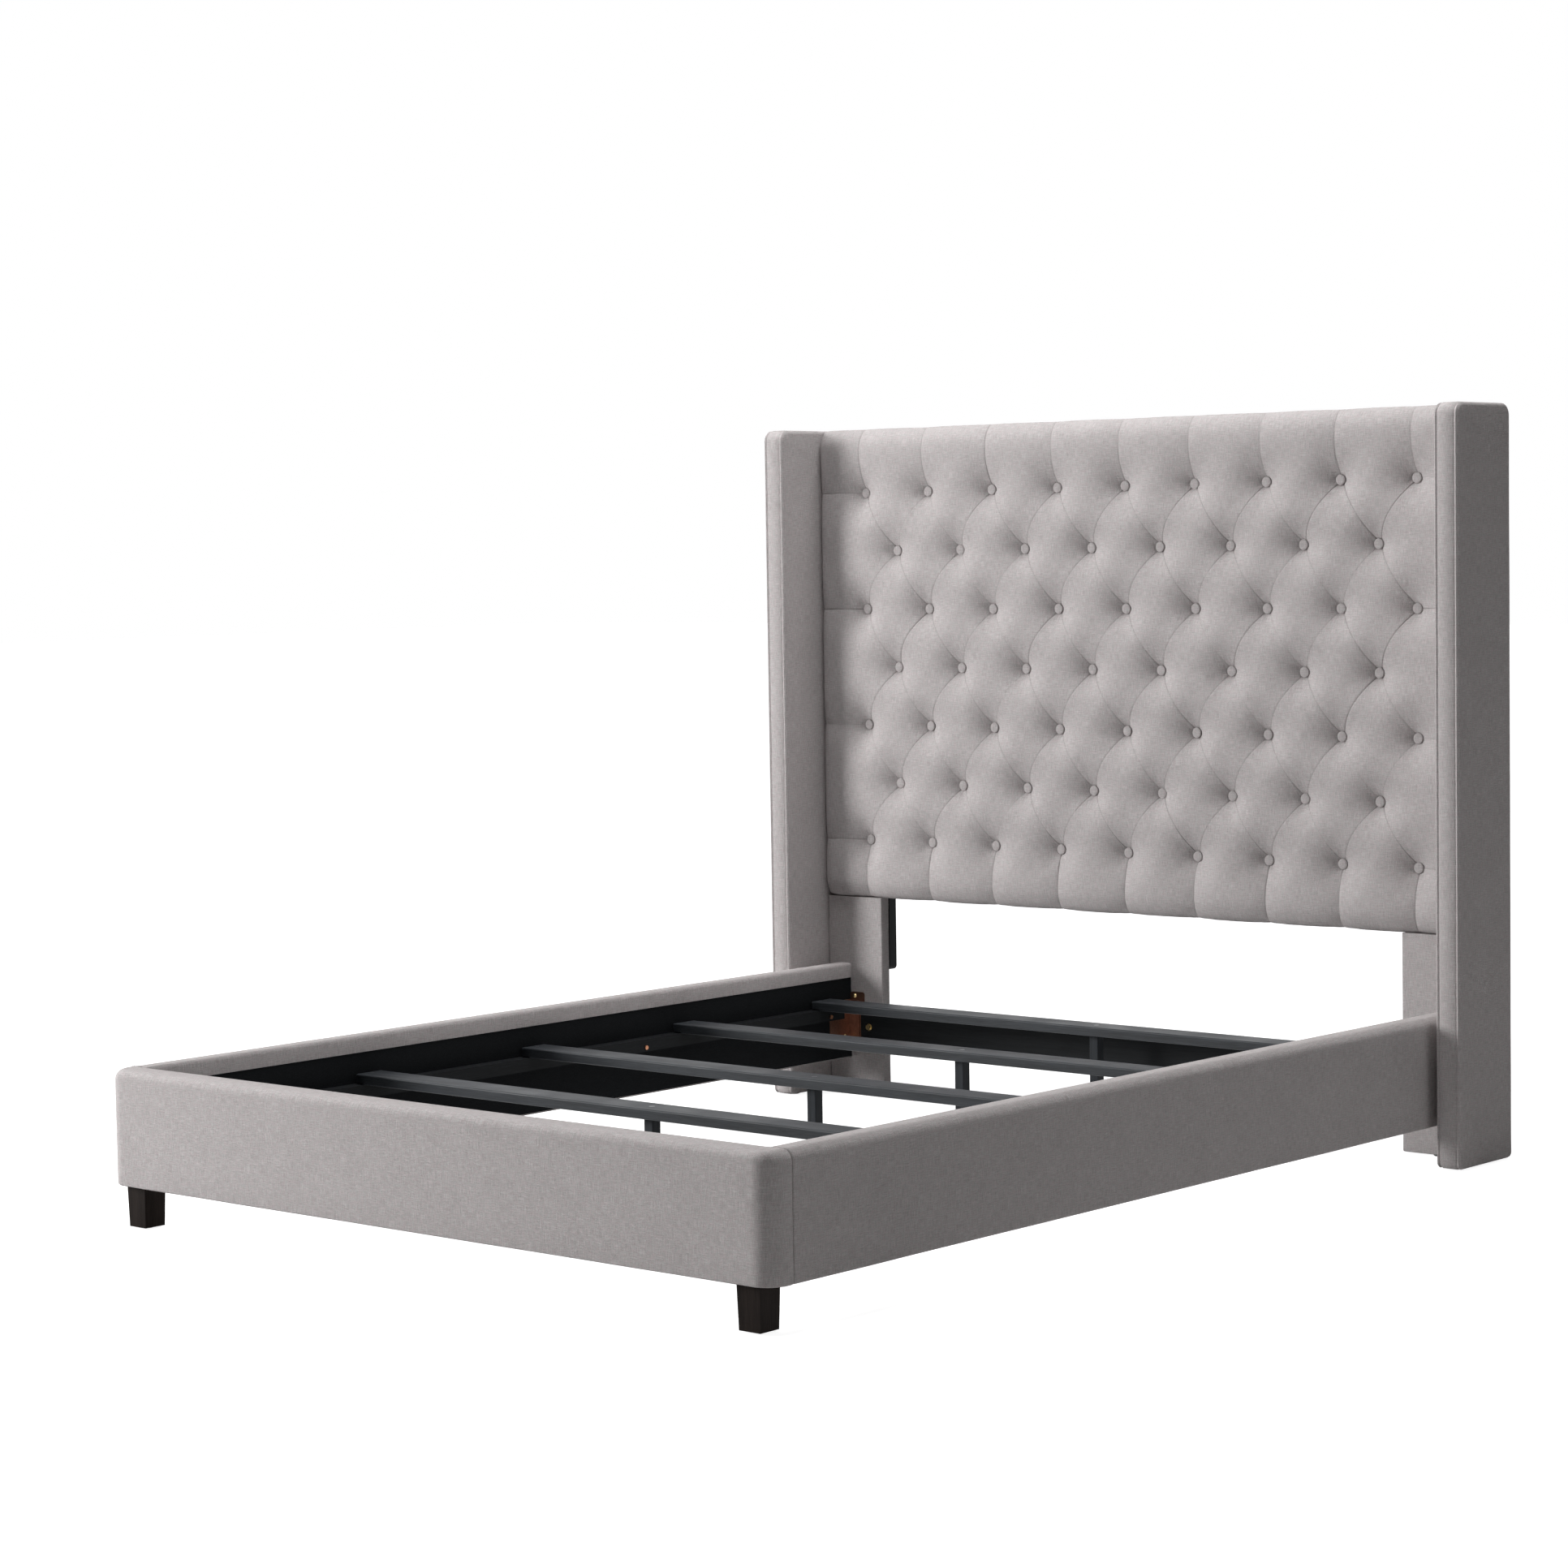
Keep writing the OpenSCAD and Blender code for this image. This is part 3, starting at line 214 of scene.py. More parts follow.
class Nodes:
    """Short calls that add nodes to a tree."""

    def __init__(self, tree):
        self.tree = tree

    def node(self, kind, inputs=None, **settings):
        made = self.tree.nodes.new(kind)
        for name, value in settings.items():
            setattr(made, name, value)
        for name, value in (inputs or {}).items():
            self.feed(made.inputs[name], value)
        return made

    def feed(self, socket, value):
        if isinstance(value, bpy.types.NodeSocket):
            self.tree.links.new(value, socket)
        else:
            socket.default_value = value

    def maths(self, operation, a, b=0.5, c=0.5):
        return self.node(
            "ShaderNodeMath", {0: a, 1: b, 2: c}, operation=operation).outputs["Value"]

    def seen(self):
        """1 for rays from the camera, a mirror or glass, and 0 for those that light things."""
        paths = self.node("ShaderNodeLightPath").outputs
        mirrored = self.maths("MAXIMUM", paths["Is Glossy Ray"], paths["Is Transmission Ray"])
        return self.maths("MAXIMUM", paths["Is Camera Ray"], mirrored)


class Finish(Nodes):
    """A new material and its shader, with calls for the patterns that the materials share."""

    def __init__(self, name, shine=None, **sockets):
        self.material = bpy.data.materials.new(name)
        self.material.use_nodes = True
        super().__init__(self.material.node_tree)
        self.shader = self.tree.nodes["Principled BSDF"]
        for socket, value in sockets.items():
            self.shader.inputs[socket.replace("_", " ")].default_value = value
        if shine is not None:
            self.shader.inputs["Specular IOR Level"].default_value = shine

    def place(self, where="Object"):
        """Object coordinates, or the weave's own map, which is in metres along the cloth."""
        if where == "Object":
            return self.node("ShaderNodeTexCoord").outputs["Object"]
        return self.node("ShaderNodeUVMap", uv_map=where).outputs["UV"]

    def stretched(self, where, scale):
        return self.node(
            "ShaderNodeMapping", {"Vector": where, "Scale": scale}).outputs["Vector"]

    def clouds(self, where, scale=1.0, detail=2.0, rough=0.5):
        return self.node("ShaderNodeTexNoise", {
            "Vector": where, "Scale": scale, "Detail": detail, "Roughness": rough,
        }).outputs["Fac"]

    def bands(self, where, pitch, direction):
        """Ridges that are one pitch apart."""
        return self.node(
            "ShaderNodeTexWave", {"Vector": where, "Scale": math.pi / 10 / pitch},
            bands_direction=direction).outputs["Fac"]

    def ramp(self, value, low, high, to_low=0.0, to_high=1.0):
        return self.node("ShaderNodeMapRange", {
            "Value": value, "From Min": low, "From Max": high,
            "To Min": to_low, "To Max": to_high,
        }).outputs["Result"]

    def blend(self, share, a, b):
        mix = self.node("ShaderNodeMix", data_type="RGBA")
        self.feed(mix.inputs[0], share)
        for socket, value in ((mix.inputs[6], a), (mix.inputs[7], b)):
            self.feed(socket, value if isinstance(value, bpy.types.NodeSocket) else (*value, 1))
        return mix.outputs[2]

    def colour(self, value):
        self.feed(self.shader.inputs["Base Color"], value)

    def rough(self, value):
        self.feed(self.shader.inputs["Roughness"], value)

    def relief(self, height, distance, strength=1.0, under=None):
        inputs = {"Height": height, "Distance": distance, "Strength": strength}
        if under is not None:
            inputs["Normal"] = under
        return self.node("ShaderNodeBump", inputs).outputs["Normal"]

    def normal(self, value):
        self.feed(self.shader.inputs["Normal"], value)


def linen(name, with_fold_shade=False):
    """Plain-woven linen: crossed threads with slubs, faint warm and cool blotches, a soft nap."""
    s = bpy.context.scene.bed_linen
    f = Finish(name, 0.06, Roughness=0.95, Sheen_Weight=0.06, Sheen_Roughness=0.55)
    cloth = f.place("weave")
    across, along = 1 / s.slub_width, 1 / s.slub_length
    warp = f.clouds(f.stretched(cloth, (across, along, 1)), detail=2, rough=0.6)
    weft = f.clouds(f.stretched(cloth, (along, across, 1)), detail=2, rough=0.6)
    slubs = f.maths("ADD", f.ramp(warp, 0.41, 0.59, 0.0, 0.5), f.ramp(weft, 0.41, 0.59, 0.0, 0.5))
    fine = f.clouds(cloth, 640, detail=2, rough=0.7)
    blotch = f.clouds(cloth, 12, detail=3, rough=0.6)
    tone = f.maths("ADD", f.maths("MULTIPLY", slubs, 0.66), f.ramp(fine, 0.39, 0.61, 0.0, 0.34))
    tone = f.maths("MULTIPLY_ADD", f.maths("SUBTRACT", blotch, 0.5), 0.25, tone)
    tint = f.ramp(f.clouds(cloth, 140, detail=3, rough=0.7), 0.42, 0.58)
    shade = f.blend(
        tone, f.blend(tint, tuple(s.dark), tuple(s.dark_cool)),
        f.blend(tint, tuple(s.light), tuple(s.light_cool)))
    # Painted shade: along the folds and round the buttons' rims, the fold attribute blends the
    # linen towards the fold shade colour.
    if with_fold_shade:
        fold = f.node("ShaderNodeAttribute", attribute_name="fold").outputs["Fac"]
        shade = f.blend(fold, shade, tuple(s.painted_fold_shade))
    f.colour(shade)
    threads = f.maths(
        "MAXIMUM", f.bands(cloth, s.thread_pitch, "X"), f.bands(cloth, s.thread_pitch, "Y"))
    height = f.maths("MULTIPLY_ADD", threads, 0.4, f.maths("ADD", slubs, fine))
    f.normal(f.relief(height, 0.0005, 0.9))
    return f.material


def lining_cloth():
    """Spun black lining with a pressed dot pattern."""
    f = Finish("black_lining", 0.05, Roughness=0.75)
    where = f.place()
    dots = f.node("ShaderNodeTexVoronoi", {"Vector": where, "Scale": 420.0}).outputs["Distance"]
    fibres = f.clouds(f.stretched(where, (700, 90, 700)), detail=3)
    base = tuple(bpy.context.scene.bed_finish.cloth)
    paler = tuple(2.2 * c for c in base)
    f.colour(f.blend(f.maths("MULTIPLY", fibres, f.ramp(dots, 0.1, 0.6)), base, paler))
    f.normal(f.relief(dots, 0.0003, 0.6))
    return f.material


def wood(name, colour, grain_axis, gloss, contrast, open_grain=0.0002, shine=0.5):
    """Wood grain that runs along one axis, under a stain or a paint."""
    f = Finish(name, shine)
    where = f.place()
    scale = [55.0, 55.0, 55.0]
    scale[grain_axis] = 3.0
    figure = f.clouds(f.stretched(where, tuple(scale)), detail=4, rough=0.6)
    pores_scale = [620.0, 620.0, 620.0]
    pores_scale[grain_axis] = 22.0
    pores = f.clouds(f.stretched(where, tuple(pores_scale)), detail=2, rough=0.6)
    blend = f.maths("MULTIPLY_ADD", pores, 0.45, f.maths("MULTIPLY", figure, 0.55))
    deep = tuple(c * (1 - contrast) for c in colour)
    pale = tuple(min(1, c * (1 + contrast)) for c in colour)
    f.colour(f.blend(f.ramp(blend, 0.35, 0.65), deep, pale))
    f.rough(f.ramp(f.clouds(where, 9, detail=4), 0.3, 0.7, gloss - 0.07, gloss + 0.10))
    f.normal(f.relief(pores, open_grain, 0.7, f.relief(figure, open_grain * 2, 0.5)))
    return f.material


def steel(name, colour, rough, stain=0.35, scratch=0.00004):
    """Plated steel with faint stains, brushed scratches and duller patches."""
    f = Finish(name, Metallic=1.0)
    where = f.place()
    patches = f.clouds(where, 60, detail=5, rough=0.65)
    lines = f.clouds(f.stretched(where, (1500, 60, 900)), detail=2)
    dull = tuple(c * (1 - stain) for c in colour)
    f.colour(f.blend(f.ramp(patches, 0.35, 0.7), dull, colour))
    f.rough(f.ramp(patches, 0.3, 0.7, rough + 0.12, rough - 0.06))
    f.normal(f.relief(lines, scratch, 0.6))
    return f.material


def plastic():
    """Moulded black plastic with a fine spark texture."""
    f = Finish("moulded_plastic")
    where = f.place()
    grain = f.clouds(where, 900, detail=2)
    f.colour(f.blend(f.clouds(where, 40, detail=3), (0.012, 0.012, 0.013), (0.026, 0.026, 0.028)))
    f.rough(f.ramp(grain, 0.3, 0.7, 0.38, 0.55))
    f.normal(f.relief(grain, 0.0001, 0.5))
    return f.material


def linen_cover():
    """The covers' linen, made when it is first asked for."""
    return bpy.data.materials.get("linen_cover") or linen("linen_cover")


# ---------- shapes ----------

AXES = (Vector((1, 0, 0)), Vector((0, 1, 0)), Vector((0, 0, 1)))


def everything(bm):
    return bm.verts[:] + bm.edges[:] + bm.faces[:]


def verts_in(geom):
    return [g for g in geom if isinstance(g, bmesh.types.BMVert)]


def put(bm, verts, size, place, turn=None):
    """Scales new corners from their unit size, turns them and moves them into place."""
    bmesh.ops.scale(bm, verts=verts, vec=size)
    if turn is not None:
        bmesh.ops.rotate(bm, verts=verts, matrix=turn)
    bmesh.ops.translate(bm, verts=verts, vec=place)


def prism(axis, start, end, corners):
    """An outline pulled along an axis; its corners are (a, b, radius) in the two other axes."""
    bm = bmesh.new()
    others = [i for i in range(3) if i != axis]
    points = []
    for a, b, _ in corners:
        place = Vector((0, 0, 0))
        place[others[0]], place[others[1]], place[axis] = a, b, start
        points.append(bm.verts.new(place))
    bm.faces.new(points)
    for vert, (_, _, radius) in zip(points, corners):
        if radius:
            bmesh.ops.bevel(
                bm, geom=[vert], offset=radius, segments=max(3, round(radius * 350)),
                profile=0.5, affect="VERTICES", material=-1)
    grown = bmesh.ops.extrude_face_region(bm, geom=bm.faces[:])
    bmesh.ops.translate(bm, verts=verts_in(grown["geom"]), vec=AXES[axis] * (end - start))
    bmesh.ops.recalc_face_normals(bm, faces=bm.faces)
    return bm


def slice_at(bm, axis, places, geom=None):
    """Cuts the mesh into strips, so that it can be shaped between them."""
    for place in places:
        bmesh.ops.bisect_plane(
            bm, geom=geom or everything(bm), plane_co=AXES[axis] * place,
            plane_no=AXES[axis], dist=SAME)


def steps(start, end, pitch):
    count = max(1, round((end - start) / pitch))
    return [start + (end - start) * i / count for i in range(1, count)]


def cut_up(bm, low, high, *pitches):
    """Slices the mesh into even strips; each pitch is (axis, distance between two cuts)."""
    for axis, pitch in pitches:
        slice_at(bm, axis, steps(low[axis], high[axis], pitch))


def bevel_where(bm, test, radius, segments):
    """Rounds the edges that pass a test of their two ends."""
    edges = [e for e in bm.edges if test(e)]
    bmesh.ops.bevel(
        bm, geom=edges, offset=radius, segments=segments, profile=0.5, affect="EDGES",
        material=-1, clamp_overlap=True)


def lies(edge, axis, place):
    return all(abs(v.co[axis] - place) < SAME for v in edge.verts)


def press_seam(bm, axis, place, width, depth, where=lambda v: True):
    """Sinks a sewn seam along the plane at a place on an axis."""
    slice_at(bm, axis, (place - width, place, place + width))
    bm.normal_update()
    for v in bm.verts:
        if abs(v.co[axis] - place) < SAME and where(v):
            v.co -= v.normal * depth


def tuck_in(bm, axis, place, inward, where=lambda v: True):
    """Rolls the cover in towards a joint at a place on an axis; inward points away from it."""
    s = bpy.context.scene.bed_linen
    slice_at(bm, axis, [place + inward * s.tuck_reach * t for t in (0.1, 0.3, 0.6, 1)])
    bm.normal_update()
    moves = {}
    for v in bm.verts:
        near = 1 - inward * (v.co[axis] - place) / s.tuck_reach
        if 0 < near <= 1.001 and where(v):
            out = v.normal - AXES[axis] * v.normal[axis]
            if out.length > 0.2:
                roll = 1 - math.sqrt(max(0.0, 1 - near * near))
                moves[v] = out.normalized() * (s.tuck * roll)
    for v, move in moves.items():
        v.co -= move


def soften(bm, height, length=0.16, seed=0.0, hold=lambda v: False):
    """Slow waves that a stretched cover has, always inwards, so that sizes hold."""
    bm.normal_update()
    shift = {}
    for v in bm.verts:
        if not hold(v):
            wave = noise.noise(v.co / length + Vector((seed, seed, seed)))
            shift[v] = v.normal * (height * (0.5 - 0.5 * wave))
    for v, move in shift.items():
        v.co -= move


def lay_weave(bm):
    """Maps the cloth flat on to each side, in metres, so that threads follow the sides."""
    layer = bm.loops.layers.uv.get("weave") or bm.loops.layers.uv.new("weave")
    bm.normal_update()
    for face in bm.faces:
        n = face.normal
        flat = max(range(3), key=lambda i: abs(n[i]))
        a, b = [i for i in range(3) if i != flat]
        for loop in face.loops:
            loop[layer].uv = (loop.vert.co[a], loop.vert.co[b])


def new_object(name, bm):
    """Makes an object in the scene from a bmesh, and frees the bmesh."""
    mesh = bpy.data.meshes.new(name)
    bm.to_mesh(mesh)
    bm.free()
    made = bpy.data.objects.new(name, mesh)
    bpy.context.scene.collection.objects.link(made)
    return made


def add_piece(name, bm, finish, sharp=38.0):
    """Makes the piece from its bmesh, with its finish, and lets it ride on the bed."""
    piece = new_object(name, bm)
    piece.data.materials.append(finish)
    piece.data.shade_smooth()
    piece.data.set_sharp_from_angle(angle=math.radians(sharp))
    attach(piece, BED)
    return piece


def add_cover(name, bm, node, sharp=38.0):
    """Makes a padded linen cover, which stands in for the frame's node."""
    lay_weave(bm)
    piece = add_piece(name, bm, linen_cover(), sharp)
    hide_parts(node)


# ---------- tufted panel ----------

def tuft_rows():
    """Places of the buttons, row by row from the bottom, as (x, z)."""
    s = bpy.context.scene.bed_tuft
    low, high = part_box("tuft_buttons")
    r = s.button_diameter / 2
    left, right = low.x + r, high.x - r
    pitch = (right - left) / (s.columns - 1)
    rows = []
    for j in range(s.rows):
        z = low.z + r + (high.z - low.z - 2 * r) * j / (s.rows - 1)
        inset = pitch / 2 * (j % 2)
        rows.append([Vector((left + inset + i * pitch, z)) for i in range(s.columns - j % 2)])
    return rows


def fold_line(a, b, share):
    """A point on the fold between two buttons, which bows away from the upper one's diamond."""
    upper, lower = (a, b) if a.y > b.y else (b, a)
    point = a.lerp(b, share)
    upright = abs(upper.x - lower.x) < SAME
    if upright or abs(upper.y - lower.y) < SAME:
        most_swing = 0.002
        wander = noise.noise(Vector((point.x * 9, point.y * 9, 4)))
        swing = most_swing * wander * math.sin(math.pi * share)
        return point + Vector((swing, 0) if upright else (0, swing))
    middle = (a + b) / 2
    vary = 1 + 0.5 * noise.noise(Vector((middle.x * 31, middle.y * 31, 1)))
    bow = bpy.context.scene.bed_tuft.fold_bow * vary
    side = 1 if lower.x > upper.x else -1
    return point + Vector((side * bow * math.sin(math.pi * share), 0))


class PanelProfile:
    """The panel's cross-section, followed from the lower back edge, up the front, to the top."""

    def __init__(self, low, high, depth, height):
        self.low, self.high, self.depth, self.height = low, high, depth, height
        self.arc = math.pi * math.hypot(depth, height) / math.sqrt(8)
        reach = high.y - low.y - depth
        self.bottom = low.z + height - self.arc - reach
        self.top = high.z - height + self.arc + reach

    def at(self, s):
        """(point, outward normal) in Y and Z at a distance s, which is the height on the front."""
        y0, a, b = self.low.y, self.depth, self.height
        for edge, sign in ((self.high.z, 1), (self.low.z, -1)):
            past = sign * (s - edge) + b
            if past > self.arc:
                return Vector((y0 + a + past - self.arc, edge)), Vector((0, sign))
            if past > 0:
                turn = past / self.arc * math.pi / 2
                c, n = math.cos(turn), math.sin(turn)
                out = Vector((-c / a, sign * n / b)).normalized()
                return Vector((y0 + a - a * c, edge - sign * (b - b * n))), out
        return Vector((y0, s)), Vector((-1, 0))


def patch_list(rows, half_width, profile):
    """Four-sided patches between the folds: each is its four corners and which sides are folds."""
    patches = []
    for j in range(1, len(rows) - 1):
        above, below = rows[j + 1], rows[j - 1]
        for left, right in zip(rows[j], rows[j][1:]):
            x = (left.x + right.x) / 2
            top = min(above, key=lambda p: abs(p.x - x))
            bottom = min(below, key=lambda p: abs(p.x - x))
            patches.append(((top, right, bottom, left), (True, True, True, True), False))
    for row, next_row, end in (
            (rows[-1], rows[-2], profile.top), (rows[0], rows[1], profile.bottom)):
        for inner in next_row:
            for outer in row:
                if abs(outer.x - inner.x) < 0.7 * (row[1].x - row[0].x):
                    corners = (outer, inner, Vector((inner.x, end)), Vector((outer.x, end)))
                    patches.append((corners, (True, False, False, True), True))
        for outer, edge in ((row[0], -half_width), (row[-1], half_width)):
            corners = (outer, Vector((edge, outer.y)), Vector((edge, end)), Vector((outer.x, end)))
            patches.append((corners, (True, False, False, True), True))
    for j in range(1, len(rows) - 1, 2):
        for k in (j - 1, j + 1):
            for i, edge in ((0, -half_width), (-1, half_width)):
                inner, outer = rows[j][i], rows[k][i]
                corners = (outer, inner, Vector((edge, inner.y)), Vector((edge, outer.y)))
                patches.append((corners, (True, False, False, True), False))
    return patches


def near_line(points, line):
    """Distance from each point to a line of many short pieces, and the place along it."""
    a, b = line[:-1], line[1:]
    along = b - a
    rel = points[:, None, :] - a[None]
    t = np.clip((rel * along).sum(2) / (along ** 2).sum(1), 0, 1)
    off = np.sqrt(((rel - t[..., None] * along) ** 2).sum(2))
    k = off.argmin(1)
    rows = np.arange(len(points))
    return off[rows, k], a[k] + t[rows, k][:, None] * along[k]


def grade(i, count):
    """Spreads faces so that they are finest beside the folds."""
    return 0.5 - 0.5 * math.cos(math.pi * i / count)


def patch_points(corners, folds, across, along):
    """The patch's flat places, from its four sides, and its folds as lines."""
    sides = [(corners[0], corners[1]), (corners[1], corners[2]),
             (corners[3], corners[2]), (corners[0], corners[3])]

    def side(k, t):
        a, b = sides[k]
        return fold_line(a, b, t) if folds[k] else a.lerp(b, t)

    a, b, c, d = corners
    places = []
    for i in range(across + 1):
        u = grade(i, across)
        for j in range(along + 1):
            v = grade(j, along)
            places.append(
                (1 - v) * side(0, u) + v * side(2, u) + (1 - u) * side(3, v) + u * side(1, v)
                - ((1 - u) * (1 - v) * a + u * (1 - v) * b + u * v * c + (1 - u) * v * d))
    lines = [np.array([side(k, t / 14) for t in range(15)]) for k in range(4) if folds[k]]
    return places, lines


def fold_force(line, foot):
    """How tightly the cloth is folded at points on a fold: no two folds are alike."""
    middle = line[len(line) // 2]
    usual, vary, loosest, halfway = 0.62, 0.75, 0.30, 0.35
    own = usual + vary * noise.noise(Vector((middle[0] * 23, middle[1] * 23, 8)))
    across = np.linalg.norm(line[-1] - line[0])
    share = np.linalg.norm(foot - line[0], axis=1) / across
    return max(loosest, own) * (halfway + (1 - halfway) * np.abs(2 * share - 1) ** 0.8)


def hollow(across, past, places, depth, reach):
    """Depth of the wide hollows along pleats that run from buttons to an edge of the panel."""
    s = bpy.context.scene.bed_tuft
    full_depth_at = 0.035
    near = np.clip(1 - np.abs(across[:, None] - places[None]) / reach, 0, 1) ** s.dimple_curve
    grown = np.clip(past / full_depth_at, 0, 1)
    return depth * grown ** 2 * (3 - 2 * grown) * (1 - np.prod(1 - near, axis=1))


def tufted_depth(flat, lines, rows, half_width, profile):
    """How deep the cloth lies under its crests at each flat place, and the painted shade there,
    along the folds and round the buttons' rims.
    """
    s = bpy.context.scene.bed_tuft
    uneven, wrap, wrap_ease = 0.14, 0.06, 0.6
    rim, press, press_reach, press_shade = 0.0010, 0.002, 0.002, 0.85
    x, z = flat[:, 0], flat[:, 1]
    buttons = np.array([p for row in rows for p in row])
    own = np.array([1 + uneven * noise.noise(Vector((x * 17, z * 17, 3))) for x, z in buttons])
    reach = np.sqrt(((flat[:, None, :] - buttons[None]) ** 2).sum(2))
    past = np.clip(reach - s.button_diameter / 2, 0, None) / s.dimple_reach
    pull = np.clip(1 - past, 0, 1) ** s.dimple_curve
    ends = np.array([p.x for p in rows[0]])
    sides = np.array([row[0].y for row in rows[::2]])
    hollows = np.maximum(
        hollow(x, rows[0][0].y - z, ends, s.low_pleat, s.dimple_reach),
        np.maximum(
            hollow(x, z - rows[-1][0].y, ends, s.top_pleat, s.dimple_reach),
            hollow(z, np.abs(x) - rows[0][-1].x, sides, s.side_pleat, s.dimple_reach)))
    sunk = s.dimple_depth * (1 - np.prod(1 - pull * np.minimum(own, 1), axis=1)
                             * (1 - hollows / s.dimple_depth))
    nearest = reach.min(1)
    over_edge = np.clip(np.maximum(z - profile.high.z, profile.low.z - z) / wrap, 0, 1)
    valley, fold = np.zeros(len(flat)), np.zeros(len(flat))
    for line in lines:
        off, foot = near_line(flat, line)
        force = fold_force(line, foot) * (1 - wrap_ease * over_edge)
        valley = np.maximum(valley, force * (
            s.fold_depth * np.exp(-off / s.fold_width)
            + s.fold_slit * np.exp(-(off / s.fold_line) ** 2)))
        # Painted shade along the fold's slit.
        fold = np.maximum(fold, force * np.exp(-(off / s.fold_line) ** 2))
    # Beside each button's rim the cloth is pressed in, and painted shade is laid there too.
    under = np.clip((s.button_diameter / 2 + rim - nearest) / press_reach, 0, 1)
    inside = np.clip(1 - (half_width - np.abs(x)) / s.side_reach, 0, 1)
    roll = s.side_roll * (1 - np.sqrt(1 - inside ** 2))
    return sunk + valley + roll + press * under, np.maximum(fold, press_shade * under)


def settle(rows, half_width, profile):
    """Blows up a coarse sheet of the linen as cloth, held down at the buttons and its edges.

    Returns a call that gives the outward move of the settled linen at any flat places.
    """
    s = bpy.context.scene.bed_tuft
    spare, slack, button_hold, edge_hold = 0.03, 0.001, 0.006, 0.02
    low, high = profile.low.z - spare, profile.high.z + spare
    wide, tall = round(2 * half_width / s.sheet_cell), round((high - low) / s.sheet_cell)
    bm = bmesh.new()
    grid = bmesh.ops.create_grid(bm, x_segments=wide, y_segments=tall, size=1)["verts"]
    grid.sort(key=lambda v: (round(v.co.x, 5), round(v.co.y, 5)))
    flat = np.array([
        (v.co.x * half_width, (low + high) / 2 + v.co.y * (high - low) / 2) for v in grid])
    depths, _ = tufted_depth(flat, [], rows, half_width, profile)
    start, outs = np.zeros((len(flat), 3)), np.zeros((len(flat), 3))
    for i, (v, place, depth) in enumerate(zip(grid, flat, depths)):
        point, out = profile.at(place[1])
        point = point - out * float(depth)
        v.co = (place[0], point.x, point.y)
        start[i], outs[i, 1:] = v.co, out
    bm.verts.index_update()
    order = [v.index for v in grid]
    bm.normal_update()
    if grid[len(grid) // 2].normal.y > 0:
        bmesh.ops.reverse_faces(bm, faces=bm.faces[:])
    sheet = new_object("settling_sheet", bm)
    buttons = np.array([p for row in rows for p in row])
    reach = np.sqrt(((flat[:, None, :] - buttons[None]) ** 2).sum(2)).min(1)
    edge = np.minimum(
        half_width - np.abs(flat[:, 0]), np.minimum(flat[:, 1] - low, high - flat[:, 1]))
    grip = np.maximum(1 - (reach - s.button_diameter / 2 - slack) / button_hold,
                      1 - (edge - s.sheet_cell) / edge_hold)
    grip = np.round(np.clip(grip, 0, 1), 1)
    held = sheet.vertex_groups.new(name="held")
    for weight in np.unique(grip[grip > 0]):
        held.add([order[i] for i in np.nonzero(grip == weight)[0]], float(weight), "REPLACE")
    cloth = sheet.modifiers.new("settling", "CLOTH")
    cloth.settings.quality, cloth.settings.mass = 5, 0.03
    cloth.settings.use_pressure, cloth.settings.uniform_pressure_force = True, s.stuffing
    cloth.settings.bending_stiffness = 0.5
    cloth.settings.vertex_group_mass = "held"
    cloth.settings.effector_weights.gravity = 0
    cloth.point_cache.frame_start, cloth.point_cache.frame_end = 1, s.settling
    for frame_number in range(1, s.settling + 1):
        bpy.context.scene.frame_set(frame_number)
    settled = sheet.evaluated_get(bpy.context.evaluated_depsgraph_get()).data
    ends = np.zeros(3 * len(flat))
    settled.vertices.foreach_get("co", ends)
    moves = ((ends.reshape(-1, 3)[order] - start) * outs).sum(1)
    moves = s.most_swell * np.tanh(moves / s.most_swell).reshape(wide + 1, tall + 1)
    bpy.context.scene.frame_set(1)
    bpy.data.meshes.remove(sheet.data)

    def rise(places):
        u = np.clip((places[:, 0] + half_width) / (2 * half_width), 0, 1) * wide
        v = np.clip((places[:, 1] - low) / (high - low), 0, 1) * tall
        i, j = np.minimum(u.astype(int), wide - 1), np.minimum(v.astype(int), tall - 1)
        u, v = u - i, v - j
        return (1 - v) * ((1 - u) * moves[i, j] + u * moves[i + 1, j]) + v * (
            (1 - u) * moves[i, j + 1] + u * moves[i + 1, j + 1])

    return rise


